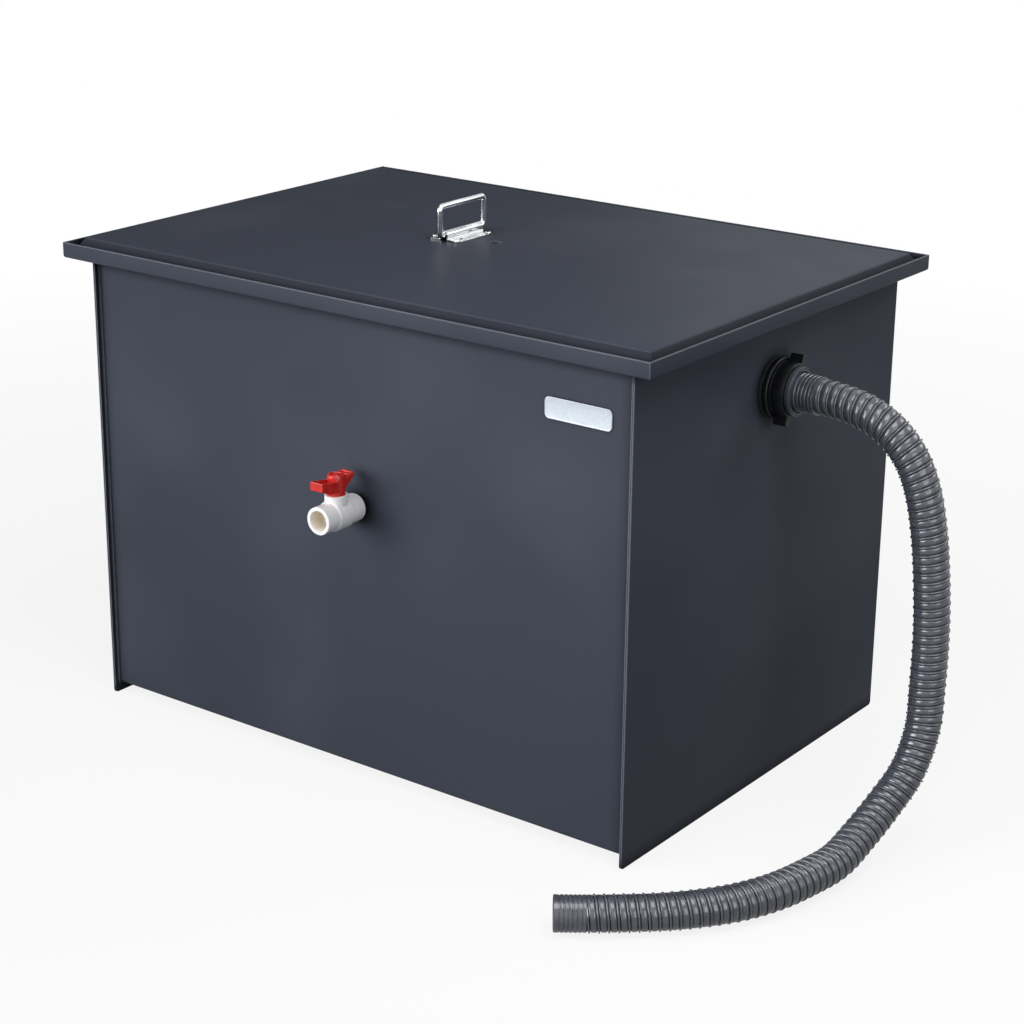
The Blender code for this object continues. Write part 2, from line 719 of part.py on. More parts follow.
def make_bare_plate():
    """The bare plate with rounded corners on the front."""
    half_x, half_z = PLATE_WIDTH / 2, PLATE_TALL / 2
    corners = [(-half_x, -half_z), (half_x, -half_z), (half_x, half_z), (-half_x, half_z)]
    place = (PLATE_X, FRONT_Y - GAP - PLATE_THICKNESS / 2, PLATE_HEIGHT)
    turn = OUT_FRONT.to_track_quat("Z", "Y")
    outline = rounded(corners, PLATE_CORNER_RADIUS, steps=6)
    flat_shape("bare_plate", [outline], PLATE_THICKNESS, PALE_PLATE, place, turn)


def make_nipple():
    """The steel nipple through the front, its nut inside and its washer outside."""
    place = (VALVE_X, FRONT_Y, VALVE_HEIGHT)
    inside = -(WRAP_THICKNESS + NIPPLE_INSIDE)
    seat = VALVE_START + SOCKET_DEPTH - GAP
    ring("valve_nipple", NIPPLE_BORE_RADIUS, NIPPLE_RADIUS, inside, seat, place, OUT_FRONT, BARE_STEEL,
         ROUND_STEPS)
    washer_end = GAP + WASHER_THICKNESS
    ring("valve_washer", BORE_RADIUS, WASHER_RADIUS, GAP, washer_end, place, OUT_FRONT, RUBBER)
    nut_middle = -FRONT_Y - WRAP_THICKNESS - GAP - NIPPLE_NUT_THICKNESS / 2
    turn = OUT_FRONT.to_track_quat("Z", "Y")
    outlines = [hexagon(NIPPLE_NUT_WIDTH), circle((0, 0), BORE_RADIUS)]
    nut_place = (VALVE_X, -nut_middle, VALVE_HEIGHT)
    flat_shape("nipple_nut", outlines, NIPPLE_NUT_THICKNESS, BARE_STEEL, nut_place, turn)


def make_valve_body():
    """The valve's body: two sockets, a fuller middle with a neck, and the bores and ball chamber inside."""
    middle = VALVE_LENGTH / 2
    bulge = VALVE_BULGE_LENGTH / 2
    centre = (VALVE_X, STEM_Y, VALVE_HEIGHT)
    outside = [
        (0, middle),
        (SOCKET_RADIUS - SHOULDER / 2, middle),
        (SOCKET_RADIUS, middle - SHOULDER / 2),
        (SOCKET_RADIUS, bulge),
        (VALVE_BULGE_RADIUS, bulge - VALVE_TAPER),
        (VALVE_BULGE_RADIUS, VALVE_TAPER - bulge),
        (SOCKET_RADIUS, -bulge),
        (SOCKET_RADIUS, -middle),
        (0, -middle),
    ]
    body = turned("valve_body", outside, centre, OUT_FRONT, WHITE_PLASTIC)
    combine(body, cylinder("neck", NECK_RADIUS, centre, NECK_TOP, ALONG_Z, WHITE_PLASTIC), "UNION")
    past = middle + SHOULDER
    shelf = middle - SOCKET_DEPTH
    bores = [
        (0, past),
        (BORE_RADIUS, past),
        (BORE_RADIUS, shelf),
        (PORT_RADIUS, shelf),
        (PORT_RADIUS, CAVITY_HALF),
        (CAVITY_RADIUS, CAVITY_HALF),
        (CAVITY_RADIUS, -CAVITY_HALF),
        (PORT_RADIUS, -CAVITY_HALF),
        (PORT_RADIUS, -shelf),
        (BORE_RADIUS, -shelf),
        (BORE_RADIUS, -past),
        (0, -past),
    ]
    drill = turned("valve_bores", bores, centre, OUT_FRONT, WHITE_PLASTIC, SMALL_ROUND_STEPS)
    combine(body, drill, "DIFFERENCE")
    stem_bore = [
        (0, NECK_TOP + SHOULDER),
        (COLLAR_RADIUS + GAP, NECK_TOP + SHOULDER),
        (COLLAR_RADIUS + GAP, NECK_TOP - NECK_BORE_DEPTH),
        (STEM_RADIUS + GAP, NECK_TOP - NECK_BORE_DEPTH),
        (STEM_RADIUS + GAP, 0),
        (0, 0),
    ]
    drill = turned("stem_bore", stem_bore, centre, ALONG_Z, WHITE_PLASTIC, SMALL_ROUND_STEPS)
    combine(body, drill, "DIFFERENCE")


def make_valve_seats():
    """Two seat rings that hold the ball between them."""
    centre = (VALVE_X, STEM_Y, VALVE_HEIGHT)
    edge = math.sqrt((BALL_RADIUS + SEAT_GRIP) ** 2 - PORT_RADIUS**2)
    outer = CAVITY_HALF - GAP
    ring("valve_seat_outer", PORT_RADIUS, SEAT_RADIUS, edge, outer, centre, OUT_FRONT, SEAT_PLASTIC)
    ring("valve_seat_inner", PORT_RADIUS, SEAT_RADIUS, -outer, -edge, centre, OUT_FRONT, SEAT_PLASTIC)


def make_valve_core():
    """The ball, the stem and the butterfly handle, which turn together about the stem."""
    axis = make_empty("valve_axis", (VALVE_X, STEM_Y, VALVE_HEIGHT), FRAME)
    origin = (0, 0, 0)

    work = bmesh.new()
    bmesh.ops.create_uvsphere(work, u_segments=SMALL_ROUND_STEPS, v_segments=12, radius=BALL_RADIUS)
    ball = add_object("valve_ball", mesh_from(work, "valve_ball"), CHROME, parent=axis)
    start = (0, BALL_RADIUS * 2, 0)
    length = BALL_RADIUS * 4
    bore = cylinder("ball_bore", PORT_RADIUS, start, length, OUT_FRONT, CHROME, SMALL_ROUND_STEPS, axis)
    combine(ball, bore, "DIFFERENCE")
    slot_half = STEM_TONGUE_WIDTH / 2 + GAP
    slot_base = BALL_RADIUS - STEM_TONGUE_DEPTH - GAP
    low = (-slot_half, -BALL_RADIUS, slot_base)
    high = (slot_half, BALL_RADIUS, BALL_RADIUS * 2)
    combine(ball, box("ball_slot", low, high, CHROME, axis), "DIFFERENCE")

    shoulder_z = BALL_RADIUS + GAP
    stem_top = NECK_TOP + STEM_IN_HUB
    stem = cylinder("valve_stem", STEM_RADIUS, (0, 0, shoulder_z), stem_top - shoulder_z, ALONG_Z,
                    SEAT_PLASTIC, SMALL_ROUND_STEPS, axis)
    half = STEM_TONGUE_WIDTH / 2
    reach = STEM_RADIUS * 0.8
    low = (-half, -reach, BALL_RADIUS - STEM_TONGUE_DEPTH)
    high = (half, reach, shoulder_z + GAP)
    combine(stem, box("stem_tongue", low, high, SEAT_PLASTIC, axis), "UNION")

    collar_base = NECK_TOP - NECK_BORE_DEPTH + GAP
    hub = [
        (0, HUB_TOP),
        (COLLAR_RADIUS - HUB_CROWN, HUB_TOP),
        (COLLAR_RADIUS - HUB_CROWN / 4, HUB_TOP - HUB_CROWN / 3),
        (COLLAR_RADIUS, HUB_TOP - HUB_CROWN),
        (COLLAR_RADIUS, collar_base),
        (0, collar_base),
    ]
    handle = turned("valve_handle", hub, origin, ALONG_Z, RED_PLASTIC, parent=axis)
    side_view = [
        (-ARM_FRONT_REACH, ARM_FRONT_BOTTOM),
        (-COLLAR_RADIUS, ARM_ROOT_BOTTOM),
        (COLLAR_RADIUS, ARM_ROOT_BOTTOM),
        (ARM_BACK_REACH, ARM_BACK_BOTTOM),
        (ARM_BACK_REACH, ARM_TIP_TOP),
        (0, ARM_ROOT_TOP),
        (-ARM_FRONT_REACH, ARM_TIP_TOP),
    ]
    turn = Matrix(((0, 0, 1), (1, 0, 0), (0, 1, 0))).to_quaternion()
    arms = fixed_mesh(flat_shape("handle_arms", [side_view], ARM_WIDTH, RED_PLASTIC, origin, turn, axis))
    soften(arms, ARM_EDGE_RADIUS, 2)
    combine(handle, arms, "UNION")
    socket = cylinder("stem_socket", STEM_RADIUS + GAP, (0, 0, collar_base - SHOULDER),
                      stem_top + GAP + SHOULDER - collar_base, ALONG_Z, RED_PLASTIC, SMALL_ROUND_STEPS, axis)
    combine(handle, socket, "DIFFERENCE")


def make_front_group():
    """What the tank's front carries."""
    make_bare_plate()
    make_nipple()
    make_valve_body()
    make_valve_seats()
    make_valve_core()


# Pipe fittings


def make_fitting(end, side, height):
    """One bulkhead fitting through an end plate, with its gaskets, nuts and coupling ring."""
    axis = ALONG_X * side
    place = Vector((side * END_X, 0, height))
    bore = PIPE_RADIUS + GAP
    ring(f"{end}_outer_gasket", bore, GASKET_RADIUS, GAP, GAP + GASKET_THICKNESS, place, axis, RUBBER)
    profile = [
        (STUB_RADIUS, STUB_END),
        (STUB_RADIUS, STUB_START),
        (FLANGE_RADIUS, STUB_START),
        (FLANGE_RADIUS, FLANGE_START),
        (PIPE_RADIUS, FLANGE_START),
        (PIPE_RADIUS, -END_PLATE_THICKNESS - PIPE_INSIDE),
        (PIPE_BORE_RADIUS, -END_PLATE_THICKNESS - PIPE_INSIDE),
        (PIPE_BORE_RADIUS, STUB_END),
    ]
    turned(f"{end}_bulkhead", profile, place, axis, BLACK_PLASTIC)
    gasket_end = -END_PLATE_THICKNESS - GAP
    ring(f"{end}_inner_gasket", bore, GASKET_RADIUS, gasket_end - GASKET_THICKNESS, gasket_end,
         place, axis, RUBBER)
    nut_middle = place + axis * (LOCK_NUT_START + LOCK_NUT_END) / 2
    outlines = [hexagon(LOCK_NUT_WIDTH), circle((0, 0), bore)]
    flat_shape(f"{end}_lock_nut", outlines, LOCK_NUT_THICKNESS, BLACK_PLASTIC, nut_middle,
               axis.to_track_quat("Z", "Y"))
    make_lug_nut(end, place, axis, side)
    collar = [
        (RING_RADIUS, FITTING_REACH),
        (RING_RADIUS, RING_START),
        (STUB_RADIUS, RING_START),
        (STUB_RADIUS, STUB_END + GAP),
        (HOSE_RADIUS + GAP, STUB_END + GAP),
        (HOSE_RADIUS + GAP, FITTING_REACH - RING_MOUTH_DEPTH),
        (RING_MOUTH_RADIUS, FITTING_REACH - RING_MOUTH_DEPTH),
        (RING_MOUTH_RADIUS, FITTING_REACH),
    ]
    turned(f"{end}_coupling_ring", collar, place, axis, GREY_PLASTIC)


def make_lug_nut(end, place, axis, side):
    """The lugged nut: a sleeve with two lugs, leaning from the vertical as it stopped when tightened."""
    edge = LUG_NUT_EDGE
    bore = STUB_RADIUS + GAP
    sleeve = [
        (LUG_NUT_RADIUS - edge, LUG_NUT_END),
        (LUG_NUT_RADIUS, LUG_NUT_END - edge),
        (LUG_NUT_RADIUS, LUG_NUT_START + edge),
        (LUG_NUT_RADIUS - edge, LUG_NUT_START),
        (bore, LUG_NUT_START),
        (bore, LUG_NUT_END),
    ]
    nut = turned(f"{end}_lug_nut", sleeve, place, axis, BLACK_PLASTIC)
    half = LUG_THICKNESS / 2
    root = (bore + LUG_NUT_RADIUS) / 2
    starts, ends = sorted((side * LUG_NUT_START, side * LUG_NUT_END))
    for way, label in ((1, "top"), (-1, "bottom")):
        low = (starts, -half, min(way * root, way * LUG_REACH))
        high = (ends, half, max(way * root, way * LUG_REACH))
        lug = box(f"{end}_lug_{label}", low, high, BLACK_PLASTIC)
        lean = Matrix.Rotation(-LUG_LEAN, 4, "X")
        lug.matrix_basis = Matrix.Translation(place) @ lean @ lug.matrix_basis
        soften(lug, edge / 2, 1)
        combine(nut, lug, "UNION")


# Hose


def smooth_route(points, spacing):
    """Points at an even spacing on a smooth curve through a route's own points."""
    points = [Vector(point) for point in points]
    padded = [2 * points[0] - points[1], *points, 2 * points[-1] - points[-2]]
    fine = [points[0]]
    parts = 20
    for before, start, end, after in zip(padded, padded[1:], padded[2:], padded[3:]):
        for part in range(1, parts + 1):
            t = part / parts
            fine.append(0.5 * (2 * start + (end - before) * t
                               + (2 * before - 5 * start + 4 * end - after) * t**2
                               + (3 * start - 3 * end + after - before) * t**3))
    lengths = [0.0]
    for start, end in zip(fine, fine[1:]):
        lengths.append(lengths[-1] + (end - start).length)
    count = round(lengths[-1] / spacing)
    even, index = [fine[0]], 1
    for number in range(1, count):
        target = lengths[-1] * number / count
        while lengths[index] < target:
            index += 1
        share = (target - lengths[index - 1]) / (lengths[index] - lengths[index - 1])
        even.append(fine[index - 1].lerp(fine[index], share))
    return even + [fine[-1]]


def make_hose():
    """The waste hose as a plain tube along its route."""
    points = smooth_route(HOSE_ROUTE, HOSE_POINT_SPACING)
    wire("waste_hose", points, HOSE_RADIUS, HOSE_PLASTIC, resolution=4)


# Inside


def make_baffle(name, x):
    """A baffle: a sheet with two side flanges, clear of the floor so that water passes under it."""
    wall = INSIDE_Y - GAP
    low = FLOOR_Z + WRAP_THICKNESS + UNDERFLOW_HEIGHT
    high = LEDGE_Z - BAFFLE_BELOW_LEDGE
    middle = (low + high) / 2
    line = rounded(
        [
            (x + BAFFLE_FLANGE, -wall, middle),
            (x, -wall, middle),
            (x, wall, middle),
            (x + BAFFLE_FLANGE, wall, middle),
        ],
        BAFFLE_BEND_RADIUS,
        closed=False,
        steps=3,
    )
    bent_sheet(name, line, Vector((0, 0, high - low)), BAFFLE_THICKNESS, POWDER_COAT)


def basket_span():
    """The basket's two ends along X, between the inlet's pipe and the first baffle."""
    return -INSIDE_X + PIPE_INSIDE, -BAFFLE_OFFSET - BASKET_CLEARANCE


def make_basket():
    """The strainer basket: a perforated pan with an outward rim, hung on its brackets."""
    start, end = basket_span()
    half_y = INSIDE_Y - BRACKET_LEDGE - GAP
    low, high = BASKET_RIM_HEIGHT - BASKET_DEPTH, BASKET_RIM_HEIGHT
    work = bmesh.new()
    bmesh.ops.create_cube(work, size=1)
    bmesh.ops.scale(work, vec=(end - start, 2 * half_y, high - low), verts=work.verts)
    middle = Vector(((start + end) / 2, 0, (low + high) / 2))
    bmesh.ops.translate(work, vec=middle, verts=work.verts)
    uprights = [edge for edge in work.edges if abs(edge.verts[0].co.z - edge.verts[1].co.z) > GAP]
    bmesh.ops.bevel(work, geom=uprights, offset=BASKET_CORNER_RADIUS, segments=3, affect="EDGES", profile=0.5)
    lid_faces = [face for face in work.faces if face.normal.z > 0.5]
    bmesh.ops.delete(work, geom=lid_faces, context="FACES")
    top = [edge for edge in work.edges if edge.is_boundary]
    grown = bmesh.ops.extrude_edge_only(work, edges=top)["geom"]
    straight_x = (end - start) / 2 - BASKET_CORNER_RADIUS
    straight_y = half_y - BASKET_CORNER_RADIUS
    for part in grown:
        if isinstance(part, bmesh.types.BMVert):
            offset = part.co - middle
            corner = Vector((math.copysign(straight_x, offset.x), math.copysign(straight_y, offset.y)))
            outward = (offset.xy - corner).normalized() * BASKET_RIM_WIDTH
            part.co += outward.to_3d()
    bmesh.ops.recalc_face_normals(work, faces=work.faces)
    basket = add_object("strainer_basket", mesh_from(work, "strainer_basket"), BARE_STEEL)
    thicken(basket, BASKET_THICKNESS, 1)

    drills = bmesh.new()
    pitch = BASKET_HOLE_PITCH
    count_x = int((end - start - 2 * BASKET_CORNER_RADIUS) / pitch)
    count_y = int((2 * half_y - 2 * BASKET_CORNER_RADIUS) / pitch)
    for column in range(count_x):
        for row in range(count_y):
            x = middle.x + (column - (count_x - 1) / 2) * pitch
            y = (row - (count_y - 1) / 2) * pitch
            place = Matrix.Translation((x, y, low))
            bmesh.ops.create_cone(drills, cap_ends=True, segments=8, radius1=BASKET_HOLE_RADIUS,
                                  radius2=BASKET_HOLE_RADIUS, depth=8 * BASKET_THICKNESS, matrix=place)
    holes = add_object("basket_holes", mesh_from(drills, "basket_holes"), BARE_STEEL)
    combine(basket, holes, "DIFFERENCE")


def make_basket_loops():
    """Two wire lifting loops inside the basket's long sides."""
    start, end = basket_span()
    middle = (start + end) / 2
    half_y = INSIDE_Y - BRACKET_LEDGE - GAP
    half = BASKET_LOOP_WIDTH / 2
    low, high = BASKET_RIM_HEIGHT - BASKET_LOOP_DROP, BASKET_RIM_HEIGHT + BASKET_LOOP_RISE
    for side, label in ((-1, "front"), (1, "back")):
        y = side * (half_y - BASKET_THICKNESS - GAP - BASKET_WIRE_RADIUS)
        path = [
            (middle - half, y, low),
            (middle - half, y, high),
            (middle + half, y, high),
            (middle + half, y, low),
        ]
        points = rounded(path, 4 * BASKET_WIRE_RADIUS, closed=False)
        wire(f"basket_loop_{label}", points, BASKET_WIRE_RADIUS, BARE_STEEL)


def make_brackets():
    """Two angle brackets on the front and back walls, under the basket's rim."""
    start, end = basket_span()
    top = BASKET_RIM_HEIGHT - GAP
    for side, label in ((-1, "front"), (1, "back")):
        wall = side * (INSIDE_Y - GAP)
        edge = side * (INSIDE_Y - BRACKET_LEDGE)
        middle = (start + end) / 2
        line = rounded([(middle, wall, top - BRACKET_LEG), (middle, wall, top), (middle, edge, top)],
                       BRACKET_BEND_RADIUS, closed=False, steps=3)
        bent_sheet(f"basket_bracket_{label}", line, Vector((end - start, 0, 0)), BRACKET_THICKNESS,
                   POWDER_COAT, side=side)


def make_dip_pipe():
    """The elbow and pipe that draw clear water from below the grease, pushed on the outlet's pipe."""
    start = END_X + LOCK_NUT_END - GAP
    bend_x = END_X - END_PLATE_THICKNESS - PIPE_INSIDE - DIP_BEND_RADIUS
    path = [(start, 0, OUTLET_HEIGHT), (bend_x, 0, OUTLET_HEIGHT), (bend_x, 0, DIP_MOUTH_HEIGHT)]
    points = rounded(path, DIP_BEND_RADIUS, closed=False, steps=8)
    bore = PIPE_RADIUS + GAP
    shell = wire("outlet_dip_pipe", points, bore, GREY_PLASTIC, resolution=8)
    shell.data.use_fill_caps = False
    pipe = fixed_mesh(shell)
    thicken(pipe, DIP_WALL, 1)


def make_inside_group():
    """What stands inside the tank."""
    make_baffle("baffle_inlet", -BAFFLE_OFFSET)
    make_baffle("baffle_outlet", BAFFLE_OFFSET)
    make_brackets()
    make_basket()
    make_basket_loops()
    make_dip_pipe()


def smooth_round_pieces():
    """Shades the round faces of every mesh piece smooth and keeps its edges sharp."""
    for item in PARTS.objects:
        if item.type == "MESH" and item.data.polygons:
            item.data.shade_smooth()
            item.data.set_sharp_from_angle(angle=math.radians(35))


def main():
    """Makes the whole trap."""
    make_tank()
    make_lid_group()
    make_front_group()
    make_fitting("inlet", -1, INLET_HEIGHT)
    make_fitting("outlet", 1, OUTLET_HEIGHT)
    make_hose()
    make_inside_group()
    smooth_round_pieces()


main()
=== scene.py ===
"""The looks of the grease trap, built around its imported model.

Metres, +Z up. The front faces -Y, the outlet and its hose are on the +X end.
"""

import json
import math

import bmesh
import bpy
from mathutils import Matrix, Quaternion, Vector


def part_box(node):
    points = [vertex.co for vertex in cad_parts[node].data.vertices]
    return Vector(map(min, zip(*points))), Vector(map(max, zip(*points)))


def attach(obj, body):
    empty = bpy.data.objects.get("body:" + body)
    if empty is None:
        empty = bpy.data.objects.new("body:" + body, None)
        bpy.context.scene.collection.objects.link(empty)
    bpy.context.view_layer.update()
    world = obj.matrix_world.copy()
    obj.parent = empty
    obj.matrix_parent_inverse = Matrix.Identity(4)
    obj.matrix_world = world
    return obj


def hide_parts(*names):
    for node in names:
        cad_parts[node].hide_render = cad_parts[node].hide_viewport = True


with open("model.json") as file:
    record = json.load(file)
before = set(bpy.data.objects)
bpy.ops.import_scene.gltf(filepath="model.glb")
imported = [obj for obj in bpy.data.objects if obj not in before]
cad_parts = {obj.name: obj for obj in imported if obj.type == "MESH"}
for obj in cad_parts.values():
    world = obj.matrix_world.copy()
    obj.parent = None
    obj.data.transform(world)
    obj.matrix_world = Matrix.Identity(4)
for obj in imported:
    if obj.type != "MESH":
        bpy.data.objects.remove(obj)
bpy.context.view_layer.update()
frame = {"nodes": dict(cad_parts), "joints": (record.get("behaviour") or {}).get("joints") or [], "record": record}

MM = 0.001

# The photograph's view
VIEW_TARGET = Vector((0.0260, 0.0199, 0.2302))
VIEW_AZIMUTH = math.radians(36.531)
VIEW_ELEVATION = math.radians(19.504)
VIEW_ROLL = math.radians(0.58)
VIEW_DISTANCE = 2.6083
LENS_MM = 83.23
SENSOR_MM = 36.0

# Axes that pieces are turned on
ALONG_X = Vector((1, 0, 0))
ALONG_Y = Vector((0, 1, 0))
ALONG_Z = Vector((0, 0, 1))

# The tank's corners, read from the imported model
PLATE_LOW, PLATE_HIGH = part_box("end_plate_right")
WRAP_LOW, WRAP_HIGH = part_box("tank_wrap")
TANK_Y = (PLATE_LOW.y + PLATE_HIGH.y) / 2
CLEARANCE = 0.3 * MM

# Waste hose: its route is the one that the model's plain hose follows, in the tank's own frame
HOSE_RIB_RADIUS = 18.5 * MM
HOSE_WALL_RADIUS = 16.9 * MM
HOSE_INNER_RADIUS = 15.4 * MM
HOSE_WALL_CROWN = 0.7 * MM
HOSE_GROOVE = 0.8 * MM
RIB_PITCH = 9.3 * MM
RIB_WIDTH = 2.3 * MM
HOSE_COLUMNS = 48
HOSE_START_X = 0.3703
HOSE_START_Z = 0.434
HOSE_ROUTE = [
    (HOSE_START_X, 0.000, HOSE_START_Z), (0.395, 0.000, HOSE_START_Z), (0.425, -0.001, 0.433),
    (0.455, -0.002, 0.428), (0.483, -0.002, 0.415), (0.506, -0.002, 0.392), (0.521, -0.001, 0.360),
    (0.530, 0.000, 0.320), (0.535, 0.001, 0.280), (0.538, 0.002, 0.240), (0.540, 0.001, 0.200),
    (0.541, -0.002, 0.160), (0.543, -0.010, 0.119), (0.541, -0.032, 0.081), (0.533, -0.064, 0.0525),
    (0.528, -0.102, 0.033), (0.5255, -0.1425, 0.0215), (0.5185, -0.1855, 0.0195),
    (0.5095, -0.2255, 0.0195), (0.4945, -0.2615, 0.0195), (0.4745, -0.2925, 0.0195),
    (0.4485, -0.3225, 0.0195), (0.4185, -0.3495, 0.0195), (0.3885, -0.3735, 0.0195),
    (0.367, -0.3895, 0.0195),
]
TOP_CUFF_RADIUS = 19.6 * MM
TOP_CUFF_LENGTH = 34 * MM
FREE_CUFF_RADIUS = 17.6 * MM
FREE_CUFF_LENGTH = 31 * MM
CUFF_INNER_RADIUS = 15.2 * MM
CUFF_RING_PITCH = 4.2 * MM


# Materials


def linear(colour):
    """The linear colour of an sRGB hex value."""
    shares = [int(colour[start : start + 2], 16) / 255 for start in (1, 3, 5)]
    values = [share / 12.92 if share <= 0.04045 else ((share + 0.055) / 1.055) ** 2.4 for share in shares]
    return (*values, 1.0)


def add_node(tree, kind, values=None, links=None, **settings):
    """Adds a shader node with its settings, values and links."""
    made = tree.nodes.new("ShaderNode" + kind)
    for name, value in settings.items():
        setattr(made, name, value)
    for socket, value in (values or {}).items():
        made.inputs[socket].default_value = value
    for socket, source in (links or {}).items():
        tree.links.new(source, made.inputs[socket])
    return made


def start_material(name, colour, roughness, metallic=0.0, **values):
    """A Principled material with its even values; gives it, its tree, shader and coordinates."""
    material = bpy.data.materials.new(name)
    material.use_nodes = True
    tree = material.node_tree
    shader = tree.nodes["Principled BSDF"]
    values = {"Base Color": linear(colour), "Roughness": roughness, "Metallic": metallic, **values}
    for socket, value in values.items():
        shader.inputs[socket].default_value = value
    place = add_node(tree, "TexCoord").outputs["Object"]
    return material, tree, shader, place


def noise(tree, place, size, detail=2.0, stretch=None):
    """Noise with features about size metres across, drawn out by stretch."""
    if stretch:
        place = add_node(tree, "Mapping", {"Scale": stretch}, {"Vector": place}).outputs["Vector"]
    values = {"Scale": 1 / size, "Detail": detail}
    return add_node(tree, "TexNoise", values, {"Vector": place}).outputs["Fac"]


def shift(tree, source, low, high):
    """Turns a 0 to 1 pattern into values between low and high."""
    values = {"From Min": 0.3, "From Max": 0.7, "To Min": low, "To Max": high}
    return add_node(tree, "MapRange", values, {"Value": source}).outputs["Result"]


def tint(tree, shader, source, dark, light, low=0.3, high=0.7):
    """Colours the surface between two colours by a pattern's value."""
    ramp = add_node(tree, "ValToRGB", links={"Fac": source})
    for element, position, colour in zip(ramp.color_ramp.elements, (low, high), (dark, light)):
        element.position = position
        element.color = linear(colour)
    tree.links.new(ramp.outputs["Color"], shader.inputs["Base Color"])
    return ramp.color_ramp


def bump(tree, shader, source, depth, strength):
    """Raises and sinks the surface by depth metres with a pattern."""
    values = {"Distance": depth, "Strength": strength}
    made = add_node(tree, "Bump", values, {"Height": source})
    tree.links.new(made.outputs["Normal"], shader.inputs["Normal"])


# How far the painted shade and the painted edge highlight reach
PAINTED_SHADE_REACH = 16 * MM
PAINTED_HIGHLIGHT_REACH = 1.4 * MM


def powder_coat(name, colour, edge):
    """Polyester powder coat, sprayed and baked: satin, fine orange peel; painted shade darkens it in folds and a
    painted highlight pales its cut edges.
    """
    material, tree, shader, place = start_material(name, colour, 0.45)
    shader.inputs["Specular IOR Level"].default_value = 0.04
    # Painted shade: ambient occlusion darkens the coat's colour in folds, gullies and under overhangs
    painted_shade = add_node(tree, "AmbientOcclusion", {"Distance": PAINTED_SHADE_REACH}, samples=4).outputs["AO"]
    highlight_reach_values = {"Distance": PAINTED_HIGHLIGHT_REACH}
    # Painted highlight: the colour lightens along cut edges and thin sheet, found by ambient occlusion from inside
    edges = add_node(tree, "AmbientOcclusion", highlight_reach_values, samples=4, inside=True, only_local=True)
    low = {"From Min": 0.4, "From Max": 1.0, "To Min": 0.0, "To Max": 0.7}
    shade_and_highlight = add_node(tree, "MapRange", low, {"Value": painted_shade}).outputs["Result"]
    highlight_range = {"From Min": 0.95, "From Max": 0.55, "To Min": 0.0, "To Max": 0.3}
    painted_highlight = add_node(tree, "MapRange", highlight_range, {"Value": edges.outputs["AO"]}).outputs["Result"]
    shade_and_highlight = add_node(tree, "Math", links={0: shade_and_highlight, 1: painted_highlight}, operation="ADD").outputs["Value"]
    drift = shift(tree, noise(tree, place, 260 * MM), 0.0, 0.04)
    shade_and_highlight = add_node(tree, "Math", links={0: shade_and_highlight, 1: drift}, operation="SUBTRACT").outputs["Value"]
    # The colour runs from painted near-black shade through the coat's colour to the painted edge highlight
    ramp = tint(tree, shader, shade_and_highlight, "#14161B", colour, 0.0, 0.68)
    ramp.elements.new(1.0).color = linear(edge)
    tree.links.new(shift(tree, noise(tree, place, 90 * MM), 0.42, 0.48), shader.inputs["Roughness"])
    bump(tree, shader, noise(tree, place, 1.6 * MM, detail=1.0), 0.03 * MM, 0.5)
    return material


def chrome():
    """Chrome plate on pressed steel, polished: near mirror, with drawn lines along the metal."""
    material, tree, shader, place = start_material("chrome_plated_steel", "#ECEDEE", 0.12, 1.0)
    drawn = noise(tree, place, 1.1 * MM, detail=1.0, stretch=(1, 0.03, 1))
    tint(tree, shader, drawn, "#A9ACB1", "#FBFBFC")
    tree.links.new(shift(tree, drawn, 0.09, 0.16), shader.inputs["Roughness"])
    return material


def zinc():
    """Hot-dip galvanised steel: dull, with spangles a few millimetres across."""
    material, tree, shader, place = start_material("galvanised_steel", "#A6A9AB", 0.4, 0.9)
    cells = add_node(tree, "TexVoronoi", {"Scale": 1 / (7 * MM)}, {"Vector": place})
    tint(tree, shader, cells.outputs["Distance"], "#9A9D9F", "#B4B7B8")
    tree.links.new(shift(tree, noise(tree, place, 5 * MM), 0.34, 0.48), shader.inputs["Roughness"])
    return material


def satin_silver():
    """Anodised aluminium sheet, satin: pale silver with a fine etched grain."""
    material, tree, shader, place = start_material("anodised_aluminium", "#B9C1CA", 0.42, 0.35)
    tint(tree, shader, noise(tree, place, 2.2 * MM, detail=4.0), "#B1BAC2", "#C1C9D1")
    bump(tree, shader, noise(tree, place, 0.7 * MM), 0.03 * MM, 0.4)
    return material


def surface(name, colour, roughness, metallic=0.0, tones=None, gloss=None, relief=None, **values):
    """A material with tones (size, two colours), gloss (size, two roughnesses) or relief (size, depth, strength)."""
    material, tree, shader, place = start_material(name, colour, roughness, metallic, **values)
    if tones:
        tint(tree, shader, noise(tree, place, tones[0]), *tones[1:])
    if gloss:
        tree.links.new(shift(tree, noise(tree, place, gloss[0]), *gloss[1:]), shader.inputs["Roughness"])
    if relief:
        bump(tree, shader, noise(tree, place, relief[0]), *relief[1:])
    return material


def hose_pvc():
    """Extruded soft PVC wound round a hard spiral: shiny, its tone drifting a little from turn to turn."""
    material, tree, shader, place = start_material("spiral_hose_pvc", "#4D505A", 0.2, IOR=1.53)
    shader.inputs["Specular IOR Level"].default_value = 0.9
    tint(tree, shader, noise(tree, place, 8 * MM, detail=3.0), "#444750", "#575A65")
    tree.links.new(shift(tree, noise(tree, place, 5 * MM), 0.14, 0.24), shader.inputs["Roughness"])
    bump(tree, shader, noise(tree, place, 2 * MM, detail=3.0), 0.1 * MM, 0.5)
    return material


